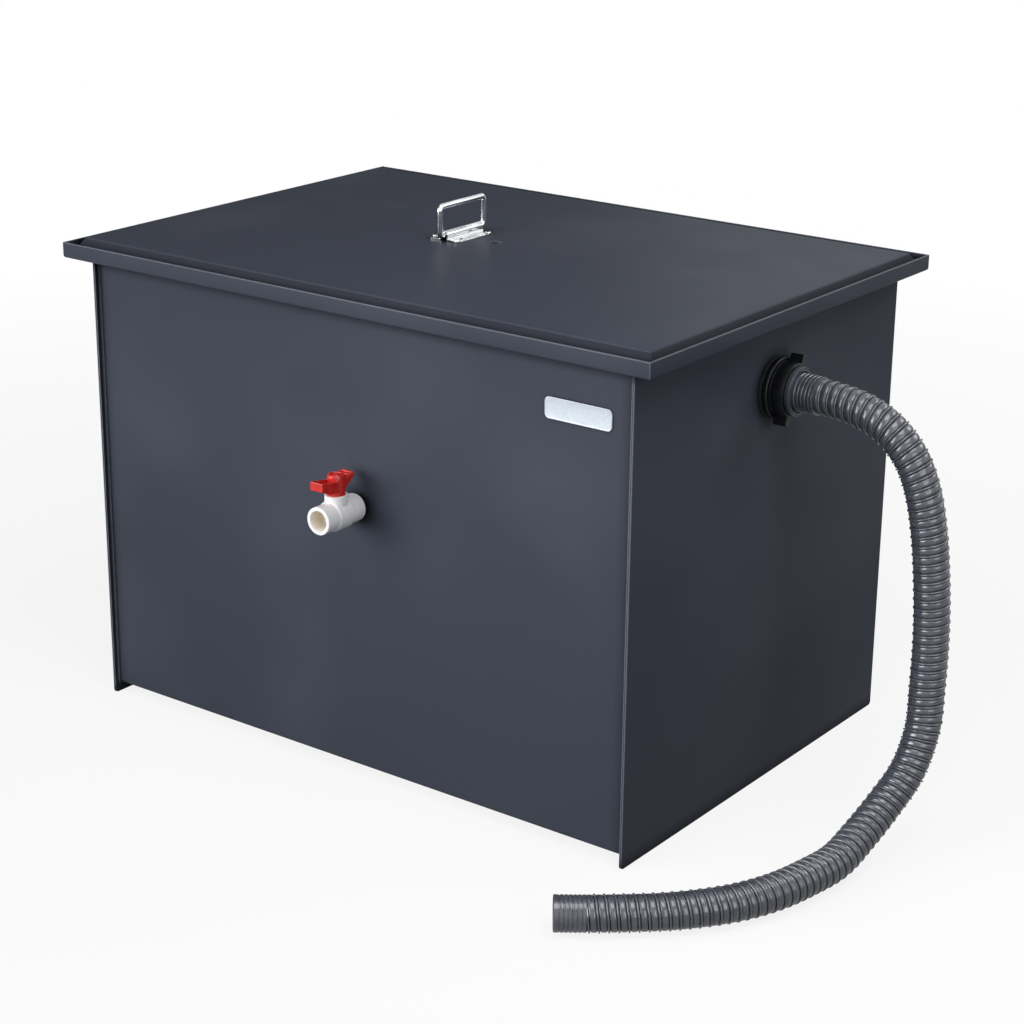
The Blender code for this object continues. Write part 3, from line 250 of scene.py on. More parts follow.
MATERIALS = {
    # The third colour of each coat is its painted edge highlight
    "powder_coat": powder_coat("powder_coated_steel", "#3E424D", "#8A8E98"),
    # A darker copy of the coat for the lid's sloped border: painted shade
    "powder_coat_painted_shade": powder_coat("powder_coated_steel_painted_shade", "#2E313A", "#5A5E68"),
    "polished_steel": chrome(),
    # The broken end of a blind rivet's steel mandrel and the recess round it: grainy steel, painted near black as the
    # shade in the hole
    "mandrel_steel_painted_shade": surface("mandrel_steel_painted_shade", "#15161A", 0.6, 0.3, (0.4 * MM, "#101115", "#1E2024")),
    "galvanised_steel": zinc(),
    "silver_plate": satin_silver(),
    # Injection-moulded white PVC: slightly glossy, faintly mottled
    "white_plastic": surface(
        "white_pvc", "#F0F0F1", 0.33, IOR=1.53, tones=(9 * MM, "#ECECEE", "#F3F3F4"),
        relief=(1.5 * MM, 0.03 * MM, 0.4),
    ),
    # The same PVC inside the valve's socket, painted warmer and a little darker as shade where less light reaches it
    "bore_painted_shade_plastic": surface("white_pvc_painted_shade", "#F0E7DA", 0.45, IOR=1.53, tones=(6 * MM, "#EAE0D0", "#F4EDE2")),
    # Injection-moulded red ABS: glossy, with a soft ripple from the mould
    "red_plastic": surface(
        "red_abs", "#C8261E", 0.24, IOR=1.54, tones=(7 * MM, "#BC1F1A", "#D22F26"),
        relief=(2.5 * MM, 0.05 * MM, 0.4),
    ),
    # Moulded black polypropylene: satin, with a fine eroded texture
    "black_plastic": surface(
        "black_polypropylene", "#0C0E12", 0.38, gloss=(6 * MM, 0.32, 0.46), relief=(0.6 * MM, 0.04 * MM, 0.5),
        **{"IOR": 1.49, "Specular IOR Level": 0.3},
    ),
    # Moulded grey polypropylene: satin, faintly mottled
    "grey_plastic": surface(
        "grey_polypropylene", "#42454E", 0.36, IOR=1.49, tones=(8 * MM, "#3D4049", "#484B54"),
        relief=(0.8 * MM, 0.03 * MM, 0.4),
    ),
    "hose_plastic": hose_pvc(),
    # Moulded nitrile rubber: matt, with a faint bloom
    "black_rubber": surface("nitrile_rubber", "#151515", 0.75, gloss=(4 * MM, 0.68, 0.84)),
    # Turned PTFE: waxy white, with the fine marks of the tool
    "seat_plastic": surface("turned_ptfe", "#E0E0DC", 0.5, IOR=1.38, relief=(0.8 * MM, 0.02 * MM, 0.5)),
}


# Making and joining meshes


def show(name, mesh, slot, body="trap", replaced=(), sharp=35):
    """Puts a finished mesh in the scene as a piece riding on a body."""
    item = loose(name, mesh)
    if not mesh.materials:
        mesh.materials.append(MATERIALS[slot])
    mesh.shade_smooth()
    mesh.set_sharp_from_angle(angle=math.radians(sharp))
    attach(item, body)
    if replaced:
        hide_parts(*replaced)
    return item


def two_toned(mesh, slot, other, chosen):
    """Gives a mesh a material, and another on chosen faces."""
    mesh.materials.clear()
    mesh.materials.append(MATERIALS[slot])
    mesh.materials.append(MATERIALS[other])
    for face in mesh.polygons:
        face.material_index = int(chosen(face.center))


def loose(name, data):
    """A mesh, camera or lamp as a plain object in the scene."""
    item = bpy.data.objects.new(name, data)
    bpy.context.scene.collection.objects.link(item)
    return item


def change(item, kind, **settings):
    """Adds a modifier with its settings."""
    modifier = item.modifiers.new(kind.title(), kind)
    for name, value in settings.items():
        setattr(modifier, name, value)
    return modifier


def finished(item, *helpers):
    """The mesh of an object with its modifiers applied, in place of the object and its helpers."""
    bpy.context.view_layer.update()
    evaluated = item.evaluated_get(bpy.context.evaluated_depsgraph_get())
    mesh = bpy.data.meshes.new_from_object(evaluated)
    for used in (item, *helpers):
        bpy.data.objects.remove(used, do_unlink=True)
    return mesh


def combine(base, others, operation):
    """Joins other meshes to a base mesh, or cuts them out of it."""
    item = loose("base", base)
    helpers = [loose("helper", mesh) for mesh in others]
    for helper in helpers:
        change(item, "BOOLEAN", object=helper, operation=operation, solver="EXACT")
    return finished(item, *helpers)


def softened(mesh, voxel, rounds):
    """Melts a mesh's parts into one moulded skin and smooths its edges."""
    item = loose("soft", mesh)
    change(item, "REMESH", mode="VOXEL", voxel_size=voxel)
    change(item, "SMOOTH", factor=0.5, iterations=rounds)
    return finished(item)


def bevelled(mesh, width, segments=3, angle=40):
    """A mesh with its sharp edges rounded."""
    item = loose("edge", mesh)
    change(item, "BEVEL", width=width, segments=segments, limit_method="ANGLE", angle_limit=math.radians(angle))
    return finished(item)


def mesh_from(work, name):
    """The mesh of a finished bmesh, with its faces pointing out."""
    bmesh.ops.recalc_face_normals(work, faces=work.faces)
    mesh = bpy.data.meshes.new(name)
    work.to_mesh(mesh)
    work.free()
    return mesh


def band(work, below, above):
    """The faces between two closed rows of points."""
    for column in range(len(below)):
        following = (column + 1) % len(below)
        work.faces.new((below[column], below[following], above[following], above[column]))


def skin(name, rows, close_rows=False, caps=False):
    """A surface through closed rows of points, which come round to the first or have capped ends."""
    work = bmesh.new()
    grid = [[work.verts.new(point) for point in row] for row in rows]
    pairs = list(zip(grid, grid[1:]))
    if close_rows:
        pairs.append((grid[-1], grid[0]))
    for below, above in pairs:
        band(work, below, above)
    if caps:
        work.faces.new(grid[0])
        work.faces.new(grid[-1])
    return mesh_from(work, name)


def filleted(points, radius, closed=True, steps=4):
    """An outline with an arc at each corner: one radius for all, or one each with 0 for sharp."""
    points = [Vector(point) for point in points]
    radii = radius if isinstance(radius, list) else [radius] * len(points)
    outline = []
    for index, (corner, size) in enumerate(zip(points, radii)):
        at_end = not closed and index in (0, len(points) - 1)
        if at_end or size == 0:
            outline.append(corner)
            continue
        back = (points[index - 1] - corner).normalized()
        ahead = (points[(index + 1) % len(points)] - corner).normalized()
        half = back.angle(ahead) / 2
        centre = corner + (back + ahead).normalized() * size / math.sin(half)
        first = (corner + back * size / math.tan(half) - centre).normalized()
        last = (corner + ahead * size / math.tan(half) - centre).normalized()
        outline += [centre + first.slerp(last, step / steps) * size for step in range(steps + 1)]
    return outline


def lathe(name, profile, centre, axis, columns=96, wave=None):
    """A turned ring from a closed profile of (radius, distance along the axis).

    wave, if given, adds to a point's radius by its angle and its place in the profile.
    """
    turn = axis.to_track_quat("Z", "Y")
    rows = []
    for angle in round_angles(columns):
        row = []
        for index, (radius, height) in enumerate(profile):
            if wave:
                radius += wave(angle, index)
            row.append(centre + turn @ Vector((radius * math.cos(angle), radius * math.sin(angle), height)))
        rows.append(row)
    return skin(name, rows, close_rows=True)


def solid_turned(name, profile, centre, axis, columns=96):
    """A turned solid from an open profile of (radius, distance along the axis), with flat ends."""
    turn = axis.to_track_quat("Z", "Y")
    rows = []
    for radius, height in profile:
        rows.append([centre + turn @ Vector((radius * x, radius * y, height)) for x, y in disc(1, columns)])
    return skin(name, rows, caps=True)


def prism(name, outline, base, axis, length, across=None):
    """A plane outline pushed along an axis; across is the way of its own first axis."""
    first = across or axis.orthogonal().normalized()
    second = axis.cross(first)
    ends = (base, base + axis * length)
    return skin(name, [[end + first * x + second * y for x, y in outline] for end in ends], caps=True)


def round_angles(columns):
    """Angles at even steps round a circle."""
    return [2 * math.pi * column / columns for column in range(columns)]


def disc(radius, columns):
    """A circle as a plane outline."""
    return [(radius * math.cos(angle), radius * math.sin(angle)) for angle in round_angles(columns)]


def rod(name, radius, base, axis, length, columns=64):
    """A plain round rod, for cutting a hole."""
    return prism(name, disc(radius, columns), base, axis, length)


def offset(first, second, steps):
    """Points at steps in millimetres from a point."""
    return [(first + step * MM, second + other * MM) for step, other in steps]


def heading(points, index):
    """The direction of a line of points at one of them."""
    return (points[min(index + 1, len(points) - 1)] - points[max(index - 1, 0)]).normalized()


def corners(x, y):
    """The four corners of a rectangle about the middle."""
    return [(-x, -y), (x, -y), (x, y), (-x, y)]


# Camera


def make_camera():
    """The camera at the photograph's viewing angle."""
    level = math.cos(VIEW_ELEVATION)
    back = Vector((math.sin(VIEW_AZIMUTH) * level, -math.cos(VIEW_AZIMUTH) * level, math.sin(VIEW_ELEVATION)))
    right = ALONG_Z.cross(back).normalized()
    up = back.cross(right)
    side = right * math.cos(VIEW_ROLL) + up * math.sin(VIEW_ROLL)
    top = up * math.cos(VIEW_ROLL) - right * math.sin(VIEW_ROLL)
    data = bpy.data.cameras.new("camera")
    data.lens = LENS_MM
    data.sensor_width = SENSOR_MM
    camera = loose("camera", data)
    turn = Matrix((side, top, back)).transposed().to_4x4()
    camera.matrix_world = Matrix.Translation(VIEW_TARGET + back * VIEW_DISTANCE) @ turn
    bpy.context.scene.camera = camera


# Waste hose


class Path:
    """A smooth path through a route's points, with a frame at each distance along it."""

    def __init__(self, route, parts=40):
        points = [Vector(point) for point in route]
        padded = [2 * points[0] - points[1], *points, 2 * points[-1] - points[-2]]
        fine = [points[0]]
        for before, start, end, after in zip(padded, padded[1:], padded[2:], padded[3:]):
            for part in range(1, parts + 1):
                t = part / parts
                square = (2 * before - 5 * start + 4 * end - after) * t**2
                cube = (3 * start - 3 * end + after - before) * t**3
                fine.append(0.5 * (2 * start + (end - before) * t + square + cube))
        self.points = fine
        self.distances = [0.0]
        for start, end in zip(fine, fine[1:]):
            self.distances.append(self.distances[-1] + (end - start).length)
        self.length = self.distances[-1]
        self.frames = []
        side = ALONG_Z.copy()
        for index in range(len(fine)):
            ahead = heading(fine, index)
            side = (side - ahead * side.dot(ahead)).normalized()
            self.frames.append((side.copy(), ahead.cross(side)))
        self.last = 0

    def at(self, distance):
        """The point, side and up directions at a distance along the path."""
        distance = min(max(distance, 0.0), self.length)
        index = self.last
        while index > 0 and self.distances[index] > distance:
            index -= 1
        while index < len(self.points) - 2 and self.distances[index + 1] < distance:
            index += 1
        self.last = index
        share = (distance - self.distances[index]) / (self.distances[index + 1] - self.distances[index])
        point = self.points[index].lerp(self.points[index + 1], share)
        side = self.frames[index][0].lerp(self.frames[index + 1][0], share)
        up = self.frames[index][1].lerp(self.frames[index + 1][1], share)
        return point, side, up

    def around(self, distance, radius, angle):
        """A point on a tube round the path."""
        point, side, up = self.at(distance)
        return point + (side * math.cos(angle) + up * math.sin(angle)) * radius


def rib_profile():
    """One turn's (share of the pitch, height over the wall): a bead, then a convex wall between grooves."""
    bead = RIB_WIDTH / RIB_PITCH
    crest = HOSE_RIB_RADIUS - HOSE_WALL_RADIUS
    section = []
    for t in (0.0, 0.1, 0.25, 0.5, 0.75, 0.9):
        section.append((bead * t, crest * (1 - (2 * t - 1) ** 4) - HOSE_GROOVE * abs(2 * t - 1) ** 4))
    for t in (0.0, 0.12, 0.3, 0.5, 0.7, 0.88):
        crown = HOSE_WALL_CROWN * math.sin(math.pi * t) ** 0.7
        section.append((bead + (1 - bead) * t, crown - HOSE_GROOVE * (t == 0)))
    return section


def make_hose_tube(path):
    """The hose's ribbed skin, whose rows follow the spiral, and its smooth bore."""
    section = rib_profile()
    turns = math.ceil(path.length / RIB_PITCH) + 1
    start, end = TOP_CUFF_LENGTH, path.length - FREE_CUFF_LENGTH
    angles = round_angles(HOSE_COLUMNS)
    work = bmesh.new()
    grid = []
    for turn in range(-1, turns):
        for share, height in section:
            row = []
            for column, angle in enumerate(angles):
                distance = (turn + share + column / HOSE_COLUMNS) * RIB_PITCH
                kept = min(max(distance, 0.0), path.length)
                fade = min(max(min(kept - start, end - kept) / RIB_WIDTH + 0.5, 0.0), 1.0)
                row.append(work.verts.new(path.around(kept, HOSE_WALL_RADIUS + height * fade, angle)))
            grid.append(row)
    per_turn = len(section)
    for index in range(len(grid) - per_turn - 1):
        for column in range(HOSE_COLUMNS):
            last = column == HOSE_COLUMNS - 1
            following = 0 if last else column + 1
            skip = per_turn if last else 0
            low, high = grid[index + skip][following], grid[index + 1 + skip][following]
            work.faces.new((grid[index][column], low, high, grid[index + 1][column]))
    count = round(path.length / RIB_PITCH)
    rings = [(path.length * number / count, HOSE_INNER_RADIUS) for number in range(count + 1)]
    rings = [(0.0, HOSE_WALL_RADIUS), *rings, (path.length, HOSE_WALL_RADIUS)]
    inner = [[work.verts.new(path.around(distance, radius, angle)) for angle in angles] for distance, radius in rings]
    for below, above in zip(inner, inner[1:]):
        band(work, below, above)
    bmesh.ops.remove_doubles(work, verts=work.verts, dist=0.002 * MM)
    return show("spiral_hose", mesh_from(work, "spiral_hose"), "hose_plastic", replaced=["waste_hose"], sharp=60)


def cuff_profile(length, size, lip):
    """A cuff's section of (distance, radius), with a lip, shallow grooves and a bore."""
    outer = [(0.0, size - 0.6 * MM), (0.5 * MM, size)]
    position = lip
    while position < length - 3 * MM:
        outer += offset(position, size, [(0, 0), (0.4, -0.5), (1.2, -0.5), (1.6, -0.1)])
        outer.append((position + CUFF_RING_PITCH * 0.7, size + 0.1 * MM))
        position += CUFF_RING_PITCH
    outer += [(length - 0.8 * MM, size), (length, HOSE_WALL_RADIUS - 0.2 * MM)]
    inner = [(length, CUFF_INNER_RADIUS), (0.8 * MM, CUFF_INNER_RADIUS), (0.0, CUFF_INNER_RADIUS + 0.6 * MM)]
    return outer + inner


def make_cuff(name, path, length, size, lip, from_end):
    """A moulded cuff over one end of the hose."""
    angles = round_angles(2 * HOSE_COLUMNS)
    rows = []
    for distance, radius in cuff_profile(length, size, lip):
        place = path.length - distance if from_end else distance
        rows.append([path.around(place, radius, angle) for angle in angles])
    return show(name, skin(name, rows, close_rows=True), "hose_plastic", sharp=30)


def make_hose():
    """The waste hose and its two cuffs; also takes points along its middle, which are not used further."""
    path = Path([(x, y + TANK_Y, z) for x, y, z in HOSE_ROUTE])
    tube = make_hose_tube(path)
    top = make_cuff("hose_cuff_top", path, TOP_CUFF_LENGTH, TOP_CUFF_RADIUS, 13 * MM, False)
    free = make_cuff("hose_cuff_free", path, FREE_CUFF_LENGTH, FREE_CUFF_RADIUS, 5 * MM, True)
    count = 180
    centres = [path.at(path.length * number / count)[0] for number in range(count + 1)]


# Tank


RIM_LOW, RIM_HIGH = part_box("rim_right")
BACK_RIM_LOW, BACK_RIM_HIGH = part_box("rim_back")
RIM_SHEET = 2 * MM
RIM_BEND = 3 * MM
RIM_EDGE = 0.5 * MM


def make_rim():
    """The welded rim: a ledge with an upturned lip, one skin round all four mitred corners."""
    near_x, overhang = RIM_LOW.x, RIM_HIGH.x - RIM_LOW.x
    near_y, far_y = BACK_RIM_LOW.y - TANK_Y, BACK_RIM_HIGH.y - TANK_Y
    ledge, top = RIM_LOW.z, RIM_HIGH.z
    inner, floor = overhang - RIM_SHEET, ledge + RIM_SHEET
    outline = [(0, ledge), (overhang, ledge), (overhang, top), (inner, top), (inner, floor), (0, floor)]
    section = filleted(outline, [RIM_EDGE, RIM_BEND] + [RIM_EDGE] * 4)
    rows = []
    for sign_x, sign_y in ((-1, -1), (1, -1), (1, 1), (-1, 1)):
        row = []
        for out, height in section:
            x = near_x + out
            on_ledge = out < overhang - RIM_SHEET * 2
            y = near_y + out / overhang * (far_y - near_y) if on_ledge else far_y - (overhang - out)
            row.append(Vector((sign_x * x, TANK_Y + sign_y * y, height)))
        rows.append(row)
    mesh = skin("rim_tray", rows, close_rows=True)
    mesh = bevelled(mesh, 0.7 * MM, 3, 50)
    show("rim_tray", mesh, "powder_coat", replaced=["rim_front", "rim_back", "rim_left", "rim_right"], sharp=30)


WELD_LEG = 2.2 * MM
WELD_BEND = 5 * MM
WELD_STEP = 1.5 * MM
WELD_SINK = 0.1 * MM


def make_weld(name, side):
    """The fillet weld where the bent sheet meets an end plate, all round the outside of its U."""
    x = side * PLATE_LOW.x
    front, back, floor, top = WRAP_LOW.y, WRAP_HIGH.y, WRAP_LOW.z, WRAP_HIGH.z
    seam = [(front, top), (front, floor), (back, floor), (back, top)]
    line = filleted(seam, WELD_BEND, closed=False, steps=8)
    route = [line[0]]
    for point in line[1:]:
        while (point - route[-1]).length > 2 * WELD_STEP:
            route.append(route[-1] + (point - route[-1]).normalized() * WELD_STEP)
        route.append(point)
    rows = []
    for index, point in enumerate(route):
        ahead = heading(route, index)
        out = Vector((ahead.y, -ahead.x))
        if out.dot(point - Vector((TANK_Y, WRAP_HIGH.z / 2))) < 0:
            out = -out
        leg = WELD_LEG * (1 + 0.05 * math.sin(index * 1.7) + 0.04 * math.sin(index * 0.61))
        row = [(-WELD_SINK, -WELD_SINK), (leg, -WELD_SINK)]
        for step in range(5):
            angle = math.radians(90 * step / 4)
            row.append((leg * (1 - math.sin(angle) * 0.75), leg * (1 - math.cos(angle) * 0.75) * 0.9))
        row.append((-WELD_SINK, leg))
        rows.append([Vector((x - side * a, point.x + out.x * b, point.y + out.y * b)) for a, b in row])
    show(name, skin(name, rows, caps=True), "powder_coat", sharp=50)


LID_LOW, LID_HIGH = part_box("lid")
LID_SHEET = 2 * MM
LID_SLOPE = 7 * MM
LID_BEND = 2 * MM
VENT_RADIUS = 6 * MM
VENT = Vector((-7 * MM, TANK_Y + 11 * MM, 0))
RIVET_RADIUS = 2.2 * MM
RIVETS = [sum(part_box(f"handle_rivet_{number}"), Vector()) / 2 for number in range(1, 5)]


def drilled(mesh, low, depth, others=()):
    """A mesh with the rivets' holes, and any others, cut through it."""
    holes = [rod("hole", RIVET_RADIUS, Vector((rivet.x, rivet.y, low)), ALONG_Z, depth, 32) for rivet in RIVETS]
    return combine(mesh, [*others, *holes], "DIFFERENCE")


def make_lid():
    """The lid: a folded pan with soft bends, a vent hole and the rivets' holes."""
    work = bmesh.new()
    bmesh.ops.create_grid(work, x_segments=1, y_segments=1, size=1)
    flat_x, flat_y = LID_HIGH.x - LID_SLOPE, LID_HIGH.y - TANK_Y - LID_SLOPE
    bmesh.ops.scale(work, vec=(flat_x, flat_y, 1), verts=work.verts)
    bmesh.ops.translate(work, vec=(0, TANK_Y, LID_HIGH.z), verts=work.verts)
    grown = bmesh.ops.extrude_edge_only(work, edges=list(work.edges))["geom"]
    for part in grown:
        if isinstance(part, bmesh.types.BMVert):
            part.co.x += math.copysign(LID_SLOPE, part.co.x)
            part.co.y += math.copysign(LID_SLOPE, part.co.y - TANK_Y)
            part.co.z = LID_LOW.z + LID_SHEET * 0.5
    item = loose("lid", mesh_from(work, "lid"))
    bend = {"limit_method": "ANGLE", "angle_limit": math.radians(15)}
    change(item, "BEVEL", width=LID_BEND, segments=8, **bend)
    change(item, "SOLIDIFY", thickness=LID_SHEET, offset=-1, use_even_offset=True)
    mesh = finished(item)
    under = LID_HIGH.z - 2 * LID_SHEET
    vent = rod("vent", VENT_RADIUS, VENT + ALONG_Z * under, ALONG_Z, 4 * LID_SHEET)
    mesh = drilled(mesh, under, 4 * LID_SHEET, [vent])
    mesh = bevelled(mesh, 0.35 * MM, 2, 50)

    def on_border(point):
        return max(abs(point.x) - flat_x, abs(point.y - TANK_Y) - flat_y) > 0.4 * MM

    # Painted shade: the sloped border takes the darker copy of the coat
    two_toned(mesh, "powder_coat", "powder_coat_painted_shade", on_border)
    item = show("lid_pan", mesh, "powder_coat", replaced=["lid"], sharp=30)
    change(item, "WEIGHTED_NORMAL", keep_sharp=True)


# Folding handle


HANDLE_LOW, HANDLE_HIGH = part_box("handle_plate")
BAIL_LOW, BAIL_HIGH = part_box("handle_bail")
HANDLE = Vector(((BAIL_LOW.x + BAIL_HIGH.x) / 2, (BAIL_LOW.y + BAIL_HIGH.y) / 2, HANDLE_LOW.z))
BAIL_RADIUS = (BAIL_HIGH.x - BAIL_LOW.x) / 2
BAIL_AXIS_Z = next(joint for joint in frame["joints"] if joint["name"] == "bail_fold")["pos_m"][2]
BAIL_CORNER = 5 * MM
BAIL_TURNED_IN = 26 * MM
HANDLE_SHEET = 1.5 * MM
HANDLE_BARREL = 62 * MM
HANDLE_FLARE = 3 * MM
HANDLE_TIP_RADIUS = 6 * MM
ARCH_FOOT = 2.5 * MM
RIDGE_HALF_WIDTH = 2.3 * MM
RIDGE_HEIGHT = 0.8 * MM
RIDGE_LENGTH = 32 * MM
PIN_RADIUS = 2.0 * MM
SHANK_RADIUS = 1.9 * MM


def sweep(name, points, radius, columns=24):
    """A round wire through points, with domed ends."""
    line = [Vector(point) for point in points]
    rows = []
    side = ALONG_X.copy()
    for index, point in enumerate(line):
        ahead = heading(line, index)
        side = (side - ahead * side.dot(ahead)).normalized()
        up = ahead.cross(side)
        rows.append([point + side * x + up * y for x, y in disc(radius, columns)])
    return skin(name, rows, caps=True)


def make_bail():
    """The bail: one chromed wire with its ends turned into the plate's arch."""
    side = BAIL_HIGH.y - HANDLE.y - BAIL_RADIUS
    inner = side - BAIL_TURNED_IN
    top = BAIL_HIGH.z - BAIL_RADIUS
    axis = BAIL_AXIS_Z
    bends = [(-inner, axis), (-side, axis), (-side, top), (side, top), (side, axis), (inner, axis)]
    path = [(HANDLE.x, HANDLE.y + y, z) for y, z in bends]
    mesh = sweep("bail_wire", filleted(path, BAIL_CORNER, closed=False, steps=12), BAIL_RADIUS)
    mesh = bevelled(mesh, 0.4 * MM, 3, 60)
    show("bail_wire", mesh, "polished_steel", "bail", ["handle_bail"])


def make_handle_plate():
    """The handle's plate: an arch pressed into a sheet, with flared and rounded flanges."""
    base = HANDLE_LOW.z
    arch = BAIL_RADIUS + CLEARANCE
    half = (HANDLE_HIGH.x - HANDLE_LOW.x) / 2
    axis = BAIL_AXIS_Z
    left = filleted([(-half, base), (-arch, base), (-arch, axis)], [0, ARCH_FOOT, 0], closed=False, steps=6)
    steps = 24
    crown = []
    for step in range(1, steps):
        angle = math.pi - math.pi * step / steps
        crown.append(Vector((arch * math.cos(angle), axis + arch * math.sin(angle))))
    line = left + crown + [Vector((-point.x, point.y)) for point in reversed(left)]
    outer = []
    for index, point in enumerate(line):
        ahead = heading(line, index)
        outer.append(point + Vector((-ahead.y, ahead.x)) * HANDLE_SHEET)
    section = line + outer[::-1]
    reach = HANDLE_BARREL / 2 + HANDLE_FLARE
    rows = [[Vector((HANDLE.x + x, HANDLE.y + y, z)) for x, z in section] for y in (-reach, reach)]
    mesh = skin("handle_plate", rows, caps=True)
    waist = arch + HANDLE_SHEET + 0.5 * MM
    barrel = HANDLE_BARREL / 2
    tips = [(-half, -reach), (-waist, -barrel), (waist, -barrel), (half, -reach)]
    tips += [(half, reach), (waist, barrel), (-waist, barrel), (-half, reach)]
    outline = filleted(tips, HANDLE_TIP_RADIUS, steps=8)
    low = Vector((HANDLE.x, HANDLE.y, base - 5 * MM))
    block = prism("outline", outline, low, ALONG_Z, 30 * MM, ALONG_X)
    mesh = combine(mesh, [block], "INTERSECT")
    arc = []
    for step in range(13):
        angle = math.pi * step / 12
        arc.append((RIDGE_HALF_WIDTH * math.cos(angle), -RIDGE_HEIGHT * math.sin(angle)))
    arc += [(-RIDGE_HALF_WIDTH, RIDGE_HEIGHT / 2), (RIDGE_HALF_WIDTH, RIDGE_HEIGHT / 2)]
    line = Vector((RIVETS[-1].x, HANDLE.y - RIDGE_LENGTH / 2, base + HANDLE_SHEET))
    ridge = prism("ridge", arc, line, ALONG_Y, RIDGE_LENGTH, ALONG_X)
    mesh = combine(mesh, [ridge], "UNION")
    mesh = drilled(mesh, base - HANDLE_SHEET, 3 * HANDLE_SHEET)
    mesh = bevelled(mesh, 0.3 * MM, 2, 50)
    item = show("handle_pressing", mesh, "polished_steel", replaced=["handle_plate"], sharp=35)
    change(item, "WEIGHTED_NORMAL", keep_sharp=True)


def make_rivets():
    """Four blind rivets: a domed head round the pulled pin's hole, a shank and a tail under the lid."""
    for number, rivet in enumerate(RIVETS, 1):
        low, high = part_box(f"handle_rivet_{number}")
        centre = Vector((rivet.x, rivet.y, 0))
        head = high.z
        flange = head - 1.7 * MM
        tail = LID_HIGH.z - LID_SHEET - CLEARANCE
        dome = [(-0.3, -0.2), (0, -0.6), (0.1, -1.0), (0.35, -0.75), (0.75, -0.95), (1.05, -1.3)]
        profile = [(0.9 * MM, head)] + offset(PIN_RADIUS, head, dome)
        profile += offset(0, flange, [(3.1, 0.15), (2.9, 0)]) + [(SHANK_RADIUS, flange), (SHANK_RADIUS, tail)]
        profile += offset(0, tail, [(2.9, -0.5), (3.05, -1.4)]) + [(2.4 * MM, low.z)]
        mesh = solid_turned(f"blind_rivet_{number}", profile, centre, ALONG_Z, 32)

        def on_pin(point):
            out = point - centre
            return math.hypot(out.x, out.y) < PIN_RADIUS + 0.08 * MM and out.z > head - 1.1 * MM

        # Painted shade: the pin and the recess round it take the near-black mandrel material
        two_toned(mesh, "polished_steel", "mandrel_steel_painted_shade", on_pin)
        show(f"blind_rivet_{number}", mesh, "polished_steel", replaced=[f"handle_rivet_{number}"], sharp=40)


# Bare plate


def make_bare_plate():
    """The bare plate: a rounded sheet with a fine raised border."""
    low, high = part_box("bare_plate")
    half_x, half_z = (high.x - low.x) / 2, (high.z - low.z) / 2
    centre = Vector(((low.x + high.x) / 2, 0, (low.z + high.z) / 2))
    rows = []
    border = offset(0, low.y, [(0, 0.25), (0.25, 0), (1.0, 0), (1.3, 0.22), (1.6, 0.25)])
    for inset, y in [(0, high.y)] + border:
        outline = filleted(corners(half_x - inset, half_z - inset), 5 * MM - inset, steps=10)
        rows.append([centre + Vector((x, y, z)) for x, z in outline])
    show("front_plate", skin("front_plate", rows, caps=True), "silver_plate", replaced=["bare_plate"], sharp=50)


# Draw-off valve


VALVE_LOW, VALVE_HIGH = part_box("valve_body")
SOCKET_RADIUS = 14.5 * MM
BULGE_RADIUS = (VALVE_HIGH.x - VALVE_LOW.x) / 2
VALVE = Vector(((VALVE_LOW.x + VALVE_HIGH.x) / 2, (VALVE_LOW.y + VALVE_HIGH.y) / 2, VALVE_LOW.z + BULGE_RADIUS))
VALVE_HALF = (VALVE_HIGH.y - VALVE_LOW.y) / 2
NECK_RADIUS = 12 * MM
NECK_TOP = VALVE_HIGH.z - VALVE.z
BORE_RADIUS = 10.3 * MM
PORT_RADIUS = 6.4 * MM
SOCKET_DEPTH = 16.5 * MM
COLLAR_RADIUS = 9.2 * MM
STEM_RADIUS = 4.5 * MM
GRIP_LOW, GRIP_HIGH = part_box("valve_handle")
ARM_HALF_WIDTH = 8 * MM
BULGE_HALF_LENGTH = 11 * MM
CAVITY_RADIUS = 9.7 * MM
RING_GROOVE_DEPTH = 0.35 * MM
RING_GROOVE_WIDTH = 0.7 * MM


